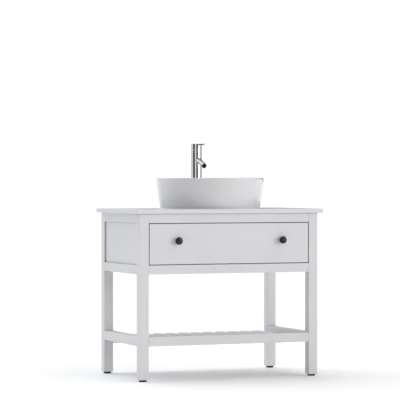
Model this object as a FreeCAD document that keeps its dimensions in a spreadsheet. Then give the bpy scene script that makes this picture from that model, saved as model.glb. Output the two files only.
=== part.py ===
import FreeCAD, Part
import os
import re
import Sketcher

# A washstand: an open-shelf wooden vanity with one drawer, a countertop, a round vessel
# basin with a tap deck, a single-lever tap, and the waste and trap under the top.
# Millimetres, +X right, +Y towards the wall, +Z up. The origin is on the floor, in the
# middle of the whole piece's width and depth.

# Driving sizes: name, value, what it is.
DRIVING_SIZES = (
    # countertop and carcass
    ("top_width", 860, "countertop, side to side"),
    ("top_depth", 500, "countertop, front to back"),
    ("top_thick", 18, "countertop"),
    ("top_height", 720, "floor to the countertop's upper face"),
    ("side_overhang", 21, "countertop past the legs at each side"),
    ("front_overhang", 16, "countertop past the front legs"),
    ("rear_overhang", 6, "countertop past the rear legs"),
    ("top_edge", 1.5, "rounding of the countertop's edges"),
    ("wood_edge", 1.2, "rounding of the wooden members' edges"),
    ("leg_width", 41, "leg, side to side"),
    ("leg_depth", 39, "leg, front to back"),
    ("foot_gap", 8, "floor to the underside of a leg"),
    ("apron_height", 253.5, "whole height of the box that holds the drawer"),
    ("upper_rail_height", 39, "rails under the countertop"),
    ("lower_rail_height", 38, "rails under the drawer"),
    ("front_rail_thick", 20, "front rails, front to back"),
    ("stop_lip_thick", 8, "lip of a front rail behind the drawer front"),
    ("stop_lip_overlap", 4, "lip's reach behind the drawer front"),
    ("side_rail_thick", 24, "side rails, side to side"),
    ("back_rail_thick", 18, "back rails, front to back"),
    ("panel_recess", 7.5, "side panel behind the face of its frame"),
    ("panel_thick", 10, "side panel"),
    ("panel_tongue", 6, "side panel's edge inside its groove"),
    ("tongue_gap", 0.5, "free depth behind a tongue"),
    ("wall_hole_spacing", 500, "between the wall fixing holes"),
    ("wall_hole_radius", 3.5, "wall fixing hole"),
    # shelf
    ("shelf_under", 148, "floor to the underside of the shelf's frame"),
    ("shelf_rail_height", 39.5, "front and side shelf rails"),
    ("shelf_rear_height", 22, "rear shelf rail"),
    ("shelf_rear_thick", 22, "rear shelf rail, front to back"),
    ("slat_count", 12, "slats"),
    ("slat_width", 38.4, "slat"),
    ("slat_thick", 14, "slat"),
    ("slat_drop", 20.5, "slats' upper face below the rails' upper edge"),
    ("slat_housing", 8, "slat's end inside the front rail"),
    # fixings
    ("screw_radius", 1.8, "wood screw's shank"),
    ("screw_head_radius", 3.8, "wood screw's head"),
    ("screw_head_height", 2.2, "wood screw's head"),
    ("screw_length", 13, "wood screw"),
    ("bracket_leaf", 36, "each leaf of a countertop bracket"),
    ("bracket_width", 20, "countertop bracket"),
    ("bracket_thick", 2, "countertop bracket"),
    ("bracket_inset", 110, "countertop bracket's middle from the leg's outer end"),
    # levelling feet
    ("foot_radius", 16.5, "foot disc"),
    ("foot_height", 7.7, "foot disc"),
    ("foot_stem_radius", 3.95, "foot stem"),
    ("foot_stem_length", 26, "foot stem above the disc"),
    ("sleeve_bore_radius", 4, "threaded sleeve's bore"),
    ("sleeve_radius", 6, "threaded sleeve"),
    ("sleeve_length", 28, "threaded sleeve"),
    # drawer
    ("drawer_gap", 3, "round the drawer front"),
    ("drawer_recess", 1, "drawer front behind the legs' faces"),
    ("drawer_front_thick", 18, "drawer front"),
    ("drawer_box_lift", 9, "drawer box above the lower rail"),
    ("drawer_box_height", 120, "drawer sides"),
    ("drawer_box_depth", 328, "drawer box behind its front"),
    ("drawer_side_thick", 12, "drawer sides and back"),
    ("drawer_bottom_thick", 6, "drawer bottom"),
    ("drawer_bottom_lift", 8, "drawer bottom above the sides' lower edge"),
    ("drawer_groove", 6, "drawer bottom's edge inside the sides"),
    # runners
    ("runner_thick", 12.7, "closed runner, side to side"),
    ("runner_height", 44, "cabinet member"),
    ("runner_wall", 1.2, "runner's sheet"),
    ("runner_play", 1.8, "between the flanges of two members"),
    ("runner_web_play", 1, "between the webs of two members"),
    ("runner_flange", 9.5, "cabinet member's flange"),
    ("runner_length", 420, "cabinet member"),
    ("runner_middle_length", 380, "middle member"),
    ("runner_setback", 23, "cabinet member behind the legs' faces"),
    ("runner_lift", 36, "runner's middle above the drawer sides' lower edge"),
    # knobs
    ("knob_offset", 239, "knob from the drawer's middle"),
    ("knob_rise", 13, "knob above the drawer front's middle"),
    ("knob_radius", 16, "knob's head"),
    ("knob_length", 27, "knob"),
    ("knob_neck_radius", 6.5, "knob's neck"),
    ("knob_base_radius", 9, "knob's foot on the drawer front"),
    ("knob_base_thick", 2, "knob's foot on the drawer front"),
    ("knob_neck_start", 4, "knob's foot has narrowed to its neck"),
    ("knob_neck_end", 11, "knob's neck starts to flare"),
    ("knob_head_start", 16.5, "knob's head reaches its full radius"),
    ("knob_head_end", 20, "knob's domed front starts"),
    ("knob_flare_radius", 8.8, "hollow curve from the neck to the head"),
    ("knob_hole_depth", 15, "threaded hole in the knob"),
    ("knob_screw_radius", 2, "knob's screw"),
    ("knob_screw_length", 32, "knob's screw"),
    ("knob_screw_head_radius", 4.2, "head of the knob's screw"),
    ("knob_screw_head_height", 2.6, "head of the knob's screw"),
    # basin
    ("basin_setback", 224.5, "basin's middle behind the legs' faces"),
    ("basin_rim_radius", 231.7, "basin's rim"),
    ("basin_base_radius", 216.5, "basin's base"),
    ("basin_height", 132.3, "rim above the countertop"),
    ("basin_wall_curve", 700, "radius of the wall's bulge"),
    ("basin_wall", 12, "ceramic wall"),
    ("basin_rim_width", 9, "rim's flat"),
    ("basin_floor", 18, "bowl floor above the basin's base"),
    ("basin_foot_width", 14, "ring that the basin stands on"),
    ("basin_foot_height", 5, "ring that the basin stands on"),
    ("deck_drop", 4, "tap deck below the rim"),
    ("deck_edge", 112, "tap deck's front edge behind the basin's middle"),
    ("bowl_corner", 60, "bowl's corners beside the deck"),
    ("bowl_blend", 28, "rounding between the bowl's wall and floor"),
    ("rim_round", 3, "rounding of the rim"),
    ("seal_thick", 1, "silicone under the basin"),
    ("seal_width", 8, "silicone under the basin"),
    # tap
    ("tap_setback", 155.5, "tap behind the basin's middle"),
    ("tap_radius", 22.5, "tap's column, collar and cap"),
    ("tap_height", 282.6, "cap's top above the countertop"),
    ("cap_height", 26, "cap"),
    ("cap_round", 0.8, "rounding of the cap's edges"),
    ("cap_gap", 0.6, "between the cap and the collar"),
    ("collar_height", 11, "collar"),
    ("base_ring_height", 3, "gasket ring under the column"),
    ("spout_radius", 11.5, "spout tube"),
    ("spout_wall", 1.5, "spout tube"),
    ("spout_drop", 20, "spout's slope in degrees"),
    ("spout_below_collar", 27, "spout's axis below the collar, at the column's middle"),
    ("spout_length", 96, "spout along its axis"),
    ("aerator_length", 9, "aerator"),
    ("aerator_recess", 2, "aerator's screen behind the spout's end"),
    ("cartridge_radius", 17.5, "cartridge"),
    ("cartridge_length", 42, "cartridge below the collar"),
    ("stem_radius", 5, "cartridge stem"),
    ("stem_in_cartridge", 12, "cartridge stem below the collar"),
    ("stem_in_cap", 10, "cartridge stem inside the cap"),
    ("waterway_radius", 4.6, "channels from the inlets to the cartridge"),
    ("shank_radius", 15, "threaded shank under the column"),
    ("shank_length", 44, "threaded shank under the column"),
    ("tap_hole_radius", 17.5, "hole in the tap deck"),
    ("shank_nut_radius", 22, "nut on the shank"),
    ("shank_nut_height", 8, "nut on the shank"),
    ("inlet_radius", 5, "hose inlets in the shank"),
    ("inlet_offset", 7.5, "hose inlets from the shank's middle"),
    ("inlet_depth", 18, "hose inlets"),
    ("lever_width", 13, "lever blade"),
    ("lever_thick", 6.5, "lever blade"),
    ("lever_reach", 98, "lever's tip from the column's middle"),
    ("lever_pin_setback", 8, "lever's pin behind the column's middle"),
    ("lever_slot_play", 0.4, "round the lever in the cap"),
    ("lever_pin_radius", 1.5, "lever's pin"),
    ("lever_pin_length", 26, "lever's pin"),
    ("pin_play", 0.05, "running clearance round the pin"),
    # waste and trap
    ("hose_hole_radius", 36, "hole in the countertop below the tap"),
    ("drain_hole_radius", 24, "hole in the countertop below the drain"),
    ("waste_radius", 19, "waste's threaded tail"),
    ("waste_bore_radius", 16, "waste's bore"),
    ("waste_play", 0.5, "round the waste's tail in the ceramic"),
    ("waste_tail_length", 58, "waste's tail below the bowl floor"),
    ("flange_radius", 33, "waste's flange"),
    ("flange_thick", 2.5, "waste's flange"),
    ("plug_radius", 31, "plug"),
    ("plug_thick", 4, "plug"),
    ("plug_lift", 8.3, "open plug above the flange"),
    ("plug_stem_radius", 4, "plug's stem"),
    ("plug_stem_length", 40, "plug's stem"),
    ("plug_bush_radius", 8, "bush that guides the stem"),
    ("plug_bush_drop", 20, "bush below the flange"),
    ("plug_bush_height", 12, "bush"),
    ("spoke_width", 3, "spokes that hold the bush"),
    ("waste_nut_radius", 32, "flanged nut under the countertop"),
    ("waste_nut_height", 9, "nut under the countertop"),
    ("elbow_wall", 3, "elbow"),
    ("elbow_sump", 1.5, "elbow's inside floor below its outlet"),
    ("elbow_clearance", 4, "elbow's rim below the nut"),
    ("elbow_outlet", 44, "elbow's outlet from its axis"),
    ("pipe_radius", 16, "waste pipe"),
    ("pipe_wall", 1.8, "waste pipe"),
    ("pipe_drop", 38, "waste pipe's axis below the countertop's underside"),
    ("pipe_bend", 26, "waste pipe's bend"),
    ("bend_clearance", 1, "end of the bend above the nut on the trap's neck"),
    ("trap_setback", 397, "trap's axis behind the legs' faces"),
    ("trap_radius", 28, "trap"),
    ("trap_wall", 2.5, "trap"),
    ("trap_body_height", 37.5, "trap's upper part, less the radius of its outlet"),
    ("trap_cup_height", 46, "trap's lower part"),
    ("trap_cup_lap", 12, "cup screwed over the body"),
    ("trap_neck", 12, "trap's inlet neck above its top"),
    ("trap_outlet", 46, "trap's outlet from its axis"),
    ("dip_depth", 70, "dip tube below the trap's top"),
    ("pipe_insert", 18, "pipe's end inside its socket"),
    ("spigot_play", 0.2, "outlet's covered end is this much slimmer"),
    ("outlet_drop", 24, "outlet's axis below the trap's top"),
    ("outlet_end", 2, "outlet's end inside the countertop's rear edge"),
    ("slip_nut_wall", 3.5, "slip nuts past the widest socket"),
    ("slip_nut_height", 14, "slip nuts"),
)

# Places worked out from the driving sizes.
BODY_WIDTH = "(top_width - 2 * side_overhang)"
BODY_DEPTH = "(top_depth - front_overhang - rear_overhang)"
KNOB_REACH = "max(knob_length - drawer_recess; front_overhang)"
FRONT = f"(({KNOB_REACH} - {BODY_DEPTH} - rear_overhang) / 2)"
REAR = f"({FRONT} + {BODY_DEPTH})"
TOP_UNDER = "(top_height - top_thick)"
APRON_UNDER = f"({TOP_UNDER} - apron_height)"
BAY_UNDER = f"({APRON_UNDER} + lower_rail_height)"
BAY_UPPER = f"({TOP_UNDER} - upper_rail_height)"
LEG_INNER = f"({BODY_WIDTH} / 2 - leg_width)"
BETWEEN_LEGS = f"({BODY_DEPTH} - 2 * leg_depth)"
SLAT_UPPER = "(shelf_under + shelf_rail_height - slat_drop)"
SLAT_UNDER = f"({SLAT_UPPER} - slat_thick)"
SLAT_PITCH = f"((2 * {LEG_INNER} + slat_width) / (slat_count + 1))"
BOX_UNDER = f"({BAY_UNDER} + drawer_box_lift)"
BOX_FRONT = f"({FRONT} + drawer_recess + drawer_front_thick)"
BOX_HALF = f"({LEG_INNER} - runner_thick)"
RUNNER_MIDDLE = f"({BOX_UNDER} + runner_lift)"
KNOB_HEIGHT = f"(({BAY_UNDER} + {BAY_UPPER}) / 2 + knob_rise)"
BASIN_Y = f"({FRONT} + basin_setback)"
BASIN_UNDER = "(top_height + seal_thick)"
SHELL_HEIGHT = "(basin_height - seal_thick)"
BOWL_SLOPE = f"atan((basin_rim_radius - basin_base_radius) / {SHELL_HEIGHT})"
BOWL_FLOOR = f"({BASIN_UNDER} + basin_floor)"
DECK_TOP = "(top_height + basin_height - deck_drop)"
TAP_Y = f"({BASIN_Y} + tap_setback)"
COLUMN_FOOT = f"({DECK_TOP} + base_ring_height)"
TAP_TOP = "(top_height + tap_height)"
COLLAR_TOP = f"({TAP_TOP} - cap_height - cap_gap)"
COLUMN_TOP = f"({COLLAR_TOP} - collar_height)"
SPOUT_Z = f"({COLUMN_TOP} - spout_below_collar)"
PIPE_Z = f"({TOP_UNDER} - pipe_drop)"
TRAP_Y = f"({FRONT} + trap_setback)"
TRAP_TOP = f"({PIPE_Z} - pipe_bend - bend_clearance - slip_nut_height / 2 - trap_neck)"
OUTLET_Z = f"({TRAP_TOP} - outlet_drop)"
TRAP_BODY = "(trap_body_height + pipe_radius + trap_wall)"

SAME_POINT = 1e-6
DOCUMENT = FreeCAD.newDocument("Washstand")
SHEET = DOCUMENT.addObject("Spreadsheet::Sheet", "Sizes")
PIECES = []


def fill_sheet():
    """Write the driving sizes to the sheet: name, value and meaning in a row each."""
    for row, (name, number, meaning) in enumerate(DRIVING_SIZES, start=1):
        SHEET.set(f"A{row}", name)
        SHEET.set(f"B{row}", str(number))
        SHEET.set(f"C{row}", meaning)
        SHEET.setAlias(f"B{row}", name)
    DOCUMENT.recompute()


def formula(text):
    """Turn plain size names into references to the sheet; functions such as sin( ) stay."""
    return re.sub(r"\b[a-z][a-z_]*\b(?!\()", lambda found: "Sizes." + found.group(0), str(text))


def value(text):
    """Work a formula out to a number."""
    result = SHEET.evalExpression(formula(text))
    return float(getattr(result, "Value", result))


def bind(item, **sizes):
    """Bind properties to formulas; a double underscore in a name stands for a dot."""
    for name, text in sizes.items():
        item.setExpression(name.replace("__", "."), formula(text))


def place(item, x="0", y="0", z="0"):
    """Bind an object's position."""
    bind(item, Placement__Base__x=x, Placement__Base__y=y, Placement__Base__z=z)


# ---- PartDesign helpers ------------------------------------------------------------------

def new_body(label, x="0", y="0", z="0"):
    """Start a sub-part whose own origin stands at x, y, z."""
    body = DOCUMENT.addObject("PartDesign::Body", label)
    body.Label = label
    place(body, x, y, z)
    PIECES.append(body)
    return body


def new_sketch(body, role, lift=None):
    """Attach an empty sketch to one of the body's own origin planes."""
    sketch = body.newObject("Sketcher::SketchObject", body.Name + "_outline")
    plane = next(item for item in body.Origin.OriginFeatures if item.Role == role)
    sketch.AttachmentSupport = [(plane, "")]
    sketch.MapMode = "FlatFace"
    if lift:
        bind(sketch, AttachmentOffset__Base__z=lift)
    return sketch


def tie(sketch, kind, *arguments):
    """Add one dimension to a sketch, bound to the formula that comes last."""
    text = arguments[-1]
    index = sketch.addConstraint(Sketcher.Constraint(kind, *arguments[:-1], value(text)))
    sketch.setExpression(f"Constraints[{index}]", formula(text))


def outline(body, role, corners, lift=None):
    """Draw a closed outline; a corner's third entry makes the edge after it an arc.

    The entry is the arc's radius, with a minus sign where the arc bends to the left of the
    way from its corner to the next one.
    """
    sketch = new_sketch(body, role, lift)
    points = [FreeCAD.Vector(value(corner[0]), value(corner[1]), 0) for corner in corners]
    ends = points[1:] + points[:1]
    for corner, start, end in zip(corners, points, ends):
        if len(corner) == 2:
            sketch.addGeometry(Part.LineSegment(start, end), False)
            continue
        radius = value(corner[2])
        if radius < 0:
            start, end = end, start
        chord = end - start
        rise = abs(radius) - (radius * radius - chord.Length ** 2 / 4) ** 0.5
        outward = FreeCAD.Vector(chord.y, -chord.x, 0).normalize()
        sketch.addGeometry(Part.Arc(start, (start + end) / 2 + outward * rise, end), False)
    flipped = [len(corner) == 3 and value(corner[2]) < 0 for corner in corners]
    for index, corner in enumerate(corners):
        following = (index + 1) % len(corners)
        own_start, own_end = (2, 1) if flipped[index] else (1, 2)
        next_start = 2 if flipped[following] else 1
        sketch.addConstraint(Sketcher.Constraint("Coincident", index, own_end, following, next_start))
        tie(sketch, "DistanceX", -1, 1, index, own_start, corner[0])
        tie(sketch, "DistanceY", -1, 1, index, own_start, corner[1])
        if len(corner) == 3:
            tie(sketch, "Radius", index, f"abs({corner[2]})")
    return sketch


def rectangle(body, role, x, y, width, height, lift=None):
    """Draw a rectangle from its lower left corner."""
    right = f"({x} + {width})"
    upper = f"({y} + {height})"
    return outline(body, role, [(x, y), (right, y), (right, upper), (x, upper)], lift)


def circle(body, role, x, y, radius, lift=None, sketch=None):
    """Draw a circle, in a new sketch or added to one."""
    sketch = sketch or new_sketch(body, role, lift)
    centre = FreeCAD.Vector(value(x), value(y), 0)
    index = sketch.addGeometry(Part.Circle(centre, FreeCAD.Vector(0, 0, 1), value(radius)), False)
    tie(sketch, "DistanceX", -1, 1, index, 3, x)
    tie(sketch, "DistanceY", -1, 1, index, 3, y)
    tie(sketch, "Radius", index, radius)
    return sketch


def feature(body, kind, sketch, **settings):
    """Add a sketch-based feature and finish it."""
    item = body.newObject("PartDesign::" + kind, body.Name + "_" + kind.lower())
    item.Profile = sketch
    for name, setting in settings.items():
        setattr(item, name, setting)
    return item


def pad(body, sketch, length, **settings):
    """Extrude a sketch."""
    item = feature(body, "Pad", sketch, **settings)
    bind(item, Length=length)
    DOCUMENT.recompute()
    return item


def pocket(body, sketch, depth, **settings):
    """Cut a sketch out, and make sure that something was cut."""
    before = body.Shape.Volume
    item = feature(body, "Pocket", sketch, **settings)
    bind(item, Length=depth)
    DOCUMENT.recompute()
    if not body.Shape.Volume < before:
        raise RuntimeError(body.Label + ": a pocket cut nothing")
    return item


def spin(body, sketch, axis="V_Axis"):
    """Revolve a sketch a full turn about one of its axes."""
    item = feature(body, "Revolution", sketch, ReferenceAxis=(sketch, [axis]), Angle=360)
    DOCUMENT.recompute()
    return item


def soften(body, radius, chosen=None):
    """Round the edges that a test chooses, or all of them."""
    base = body.Tip
    item = body.newObject("PartDesign::Fillet", body.Name + "_rounding")
    names = ["Edge1"]
    if chosen:
        names = [f"Edge{i}" for i, edge in enumerate(base.Shape.Edges, start=1) if chosen(edge)]
        if not names:
            raise RuntimeError(body.Label + ": no edge to round")
    item.Base = (base, names)
    item.UseAllEdges = not chosen
    bind(item, Radius=radius)
    DOCUMENT.recompute()
    return item


def row_of(body, item, sketch, pitch, count, axis="H_Axis"):
    """Repeat a feature along one of its sketch's axes."""
    pattern = body.newObject("PartDesign::LinearPattern", body.Name + "_row")
    pattern.Originals = [item]
    pattern.Direction = (sketch, [axis])
    pattern.TransformMode = "Whole shape"
    bind(pattern, Length=f"{pitch} * ({count} - 1)", Occurrences=count)
    body.Tip = pattern
    DOCUMENT.recompute()
    return pattern


def member(label, x, y, z, width, depth, height, edge="wood_edge"):
    """A straight wooden member with softly rounded edges, placed by its lowest corner."""
    body = new_body(label, x, y, z)
    base = rectangle(body, "XY_Plane", "0", "0", width, depth)
    pad(body, base, height)
    if edge:
        soften(body, edge)
    return body


# ---- carcass -----------------------------------------------------------------------------

def leg(label, side, end):
    """A leg with a groove for the side panel and a hole for its foot's sleeve.

    side is -1 on the left and 1 on the right; end is -1 at the front and 1 at the rear.
    """
    x = f"-{BODY_WIDTH} / 2" if side < 0 else LEG_INNER
    y = FRONT if end < 0 else f"{REAR} - leg_depth"
    body = member(label, x, y, "foot_gap", "leg_width", "leg_depth", f"{TOP_UNDER} - foot_gap")
    groove_x = "panel_recess" if side < 0 else "leg_width - panel_recess - panel_thick"
    depth = "(panel_tongue + tongue_gap)"
    groove_y = f"leg_depth - {depth}" if end < 0 else "0"
    groove = rectangle(body, "XY_Plane", groove_x, groove_y, "panel_thick", depth,
                       lift=f"{BAY_UNDER} - panel_tongue - tongue_gap - foot_gap")
    pocket(body, groove, f"{BAY_UPPER} - {BAY_UNDER} + 2 * {depth}", Reversed=True)
    hole = circle(body, "XY_Plane", "leg_width / 2", "leg_depth / 2", "sleeve_radius")
    pocket(body, hole, "sleeve_length", Reversed=True)


def side_rail(label, side, upper):
    """A rail between two legs, with a groove for the side panel in its inner edge."""
    x = f"-{BODY_WIDTH} / 2" if side < 0 else f"{BODY_WIDTH} / 2 - side_rail_thick"
    z = BAY_UPPER if upper else APRON_UNDER
    rail_height = "upper_rail_height" if upper else "lower_rail_height"
    body = member(label, x, f"{FRONT} + leg_depth", z, "side_rail_thick", BETWEEN_LEGS, rail_height)
    groove_x = "panel_recess" if side < 0 else "side_rail_thick - panel_recess - panel_thick"
    groove = rectangle(body, "XY_Plane", groove_x, "0", "panel_thick", BETWEEN_LEGS,
                       lift="0" if upper else "lower_rail_height")
    pocket(body, groove, "panel_tongue + tongue_gap", Reversed=upper)


def side_panel(label, side):
    """A flat panel whose edges sit in the grooves of its legs and rails."""
    x = f"-{BODY_WIDTH} / 2 + panel_recess"
    if side > 0:
        x = f"{BODY_WIDTH} / 2 - panel_recess - panel_thick"
    member(label, x, f"{FRONT} + leg_depth - panel_tongue", f"{BAY_UNDER} - panel_tongue",
           "panel_thick", f"{BETWEEN_LEGS} + 2 * panel_tongue",
           f"{BAY_UPPER} - {BAY_UNDER} + 2 * panel_tongue", edge=None)


def cross_rail(label, y, z, depth, height, edge="wood_edge"):
    """A rail from the left legs to the right legs."""
    return member(label, f"-{LEG_INNER}", y, z, f"2 * {LEG_INNER}", depth, height, edge)


def front_rail(label, z, height, upper):
    """A front rail with a lip behind the drawer front, which stops the drawer and closes its gap.

    The upper rail's lip hangs down and the lower rail's lip stands up.
    """
    body = cross_rail(label, FRONT, z, "front_rail_thick", height, edge=None)
    reach = "(drawer_gap + stop_lip_overlap)"
    lip = rectangle(body, "XY_Plane", "0", "front_rail_thick", f"2 * {LEG_INNER}", "stop_lip_thick",
                    lift=f"-{reach}" if upper else "0")
    pad(body, lip, f"{height} + {reach}")
    soften(body, "wood_edge")


def back_top_rail():
    """The rail that is screwed to the wall, with a hole near each end."""
    body = cross_rail("back_top_rail", f"{REAR} - back_rail_thick", BAY_UPPER, "back_rail_thick",
                      "upper_rail_height")
    holes = None
    for sign in ("-", "+"):
        holes = circle(body, "XZ_Plane", f"{LEG_INNER} {sign} wall_hole_spacing / 2",
                       "upper_rail_height / 2", "wall_hole_radius", sketch=holes)
    pocket(body, holes, "back_rail_thick")


def shelf():
    """The slatted shelf near the floor: front, side and rear rails, and the slats."""
    front = cross_rail("shelf_front_rail", FRONT, "shelf_under", "front_rail_thick", "shelf_rail_height")
    housing = rectangle(front, "XY_Plane", "0", "front_rail_thick - slat_housing", f"2 * {LEG_INNER}",
                        "slat_housing", lift=f"{SLAT_UNDER} - shelf_under")
    pocket(front, housing, "slat_thick", Reversed=True)
    cross_rail("shelf_rear_rail", f"{REAR} - shelf_rear_thick", f"{SLAT_UNDER} - shelf_rear_height",
               "shelf_rear_thick", "shelf_rear_height")
    for label, x in (("shelf_side_rail_left", f"-{BODY_WIDTH} / 2"), ("shelf_side_rail_right", LEG_INNER)):
        member(label, x, f"{FRONT} + leg_depth", "shelf_under", "leg_width", BETWEEN_LEGS,
               "shelf_rail_height")
    slats = member("shelf_slats", f"-{LEG_INNER} + {SLAT_PITCH} - slat_width",
                   f"{FRONT} + front_rail_thick - slat_housing", SLAT_UNDER, "slat_width",
                   f"{BODY_DEPTH} - front_rail_thick + slat_housing", "slat_thick")
    first_slat = slats.Group[0]
    row_of(slats, slats.Tip, first_slat, SLAT_PITCH, "slat_count")


def countertop():
    """The countertop, with a hole under the drain and one under the tap."""
    body = member("countertop", "-top_width / 2", f"{FRONT} - front_overhang", TOP_UNDER, "top_width",
                  "top_depth", "top_thick", edge="top_edge")
    drain_y = "front_overhang + basin_setback"
    holes = circle(body, "XY_Plane", "top_width / 2", drain_y, "drain_hole_radius", lift="top_thick")
    circle(body, "XY_Plane", "top_width / 2", f"{drain_y} + tap_setback", "hose_hole_radius", sketch=holes)
    pocket(body, holes, "top_thick")


def bracket_places():
    """Each bracket's side, -1 left or 1 right, and the formula of its middle's y."""
    for side in (-1, 1):
        yield side, f"({FRONT} + bracket_inset)"
        yield side, f"({REAR} - bracket_inset)"


def top_brackets():
    """Four angle brackets that hold the countertop to the side rails."""
    body = new_body("top_brackets")
    for side, middle in bracket_places():
        corner = f"{side} * ({BODY_WIDTH} / 2 - side_rail_thick)"
        inner = f"({corner} - {side} * bracket_thick)"
        tip = f"({corner} - {side} * bracket_leaf)"
        below = f"({TOP_UNDER} - bracket_thick)"
        corners = [(corner, f"{TOP_UNDER} - bracket_leaf"), (inner, f"{TOP_UNDER} - bracket_leaf"),
                   (inner, below), (tip, below), (tip, TOP_UNDER), (corner, TOP_UNDER)]
        angle = outline(body, "XZ_Plane", corners, lift=f"-({middle} - bracket_width / 2)")
        pad(body, angle, "bracket_width", Reversed=True)


def screw(head, direction, radius, length, head_radius, head_height):
    """A plain screw: a cylinder head standing on the point `head` and a shank along direction."""
    shank = Part.makeCylinder(value(radius), value(length), head, direction)
    cap = Part.makeCylinder(value(head_radius), value(head_height), head, -direction)
    return shank.fuse(cap)


def screw_group(label, screws):
    """Several loose screws in one node."""
    group = DOCUMENT.addObject("Part::Feature", label)
    group.Label = label
    group.Shape = Part.makeCompound(screws)
    PIECES.append(group)


def bracket_screws():
    """Two screws for each bracket: one up into the countertop and one into the side rail."""
    screws = []
    sizes = ("screw_radius", "screw_length", "screw_head_radius", "screw_head_height")
    for side, middle in bracket_places():
        corner = value(f"{side} * ({BODY_WIDTH} / 2 - side_rail_thick - bracket_thick)")
        inward = -side * value("bracket_leaf - bracket_thick") / 2
        under = value(f"{TOP_UNDER} - bracket_thick")
        y = value(middle)
        up_head = FreeCAD.Vector(corner + inward, y, under)
        out_head = FreeCAD.Vector(corner, y, under - abs(inward))
        screws.append(screw(up_head, FreeCAD.Vector(0, 0, 1), *sizes))
        screws.append(screw(out_head, FreeCAD.Vector(side, 0, 0), *sizes))
    screw_group("bracket_screws", screws)


def foot_places():
    """Each foot's name and the formulas of its axis."""
    across = f"({BODY_WIDTH} / 2 - leg_width / 2)"
    for end, y in (("front", f"({FRONT} + leg_depth / 2)"), ("rear", f"({REAR} - leg_depth / 2)")):
        yield f"{end}_left", f"-{across}", y
        yield f"{end}_right", across, y


def feet():
    """Four threaded sleeves in the legs, and a levelling foot in each."""
    sleeves = new_body("foot_sleeves")
    rings = None
    for name, x, y in foot_places():
        for radius in ("sleeve_radius", "sleeve_bore_radius"):
            rings = circle(sleeves, "XY_Plane", x, y, radius, "foot_gap", sketch=rings)
    pad(sleeves, rings, "sleeve_length")
    for name, x, y in foot_places():
        body = new_body("levelling_foot_" + name, x, y)
        tip = "(foot_height + foot_stem_length)"
        spin(body, outline(body, "XZ_Plane", [
            ("0", "0"), ("foot_radius", "0"), ("foot_radius", "foot_height"),
            ("foot_stem_radius", "foot_height"), ("foot_stem_radius", tip), ("0", tip)]))
        disc = value("foot_radius")
        soften(body, "wood_edge", lambda edge: edge.BoundBox.XMax > disc - SAME_POINT
               and edge.BoundBox.ZLength < SAME_POINT)


# ---- drawer ------------------------------------------------------------------------------

def drawer():
    """The drawer: an inset front and a low box behind it."""
    width = f"(2 * {LEG_INNER} - 2 * drawer_gap)"
    z = f"({BAY_UNDER} + drawer_gap)"
    front = member("drawer_front", f"-{LEG_INNER} + drawer_gap", f"{FRONT} + drawer_recess", z, width,
                   "drawer_front_thick", f"{BAY_UPPER} - {BAY_UNDER} - 2 * drawer_gap")
    holes = None
    for sign in ("-", "+"):
        holes = circle(front, "XZ_Plane", f"{width} / 2 {sign} knob_offset", f"{KNOB_HEIGHT} - {z}",
                       "knob_screw_radius", sketch=holes)
    pocket(front, holes, "drawer_front_thick")
    for label, x, groove_x in (
            ("drawer_side_left", f"-{BOX_HALF}", "drawer_side_thick - drawer_groove"),
            ("drawer_side_right", f"{BOX_HALF} - drawer_side_thick", "0")):
        side = member(label, x, BOX_FRONT, BOX_UNDER, "drawer_side_thick", "drawer_box_depth",
                      "drawer_box_height")
        groove = rectangle(side, "XY_Plane", groove_x, "0", "drawer_groove", "drawer_box_depth",
                           lift="drawer_bottom_lift")
        pocket(side, groove, "drawer_bottom_thick", Reversed=True)
    inside = f"({BOX_HALF} - drawer_side_thick)"
    under = "(drawer_bottom_lift + drawer_bottom_thick)"
    member("drawer_back", f"-{inside}", f"{BOX_FRONT} + drawer_box_depth - drawer_side_thick",
           f"{BOX_UNDER} + {under}", f"2 * {inside}", "drawer_side_thick", f"drawer_box_height - {under}")
    member("drawer_bottom", f"-{inside} - drawer_groove", BOX_FRONT, f"{BOX_UNDER} + drawer_bottom_lift",
           f"2 * ({inside} + drawer_groove)", "drawer_box_depth", "drawer_bottom_thick", edge=None)


def knobs():
    """Two turned knobs, and the screws that hold them through the drawer front."""
    dome = "((knob_length - knob_head_end)^2 + knob_radius^2) / (2 * (knob_length - knob_head_end))"
    for label, sign in (("drawer_knob_left", "-"), ("drawer_knob_right", "")):
        body = new_body(label, f"{sign}knob_offset", f"{FRONT} + drawer_recess", KNOB_HEIGHT)
        spin(body, outline(body, "YZ_Plane", [
            ("0", "knob_screw_radius"), ("0", "knob_base_radius"),
            ("-knob_base_thick", "knob_base_radius"), ("-knob_neck_start", "knob_neck_radius"),
            ("-knob_neck_end", "knob_neck_radius", "-knob_flare_radius"), ("-knob_head_start", "knob_radius"),
            ("-knob_head_end", "knob_radius", dome), ("-knob_length", "0"),
            ("-knob_hole_depth", "0"), ("-knob_hole_depth", "knob_screw_radius")]), "H_Axis")
    screws = []
    for side in (-1, 1):
        head = FreeCAD.Vector(side * value("knob_offset"), value(BOX_FRONT), value(KNOB_HEIGHT))
        screws.append(screw(head, FreeCAD.Vector(0, -1, 0), "knob_screw_radius", "knob_screw_length",
                            "knob_screw_head_radius", "knob_screw_head_height"))
    screw_group("knob_screws", screws)


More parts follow.
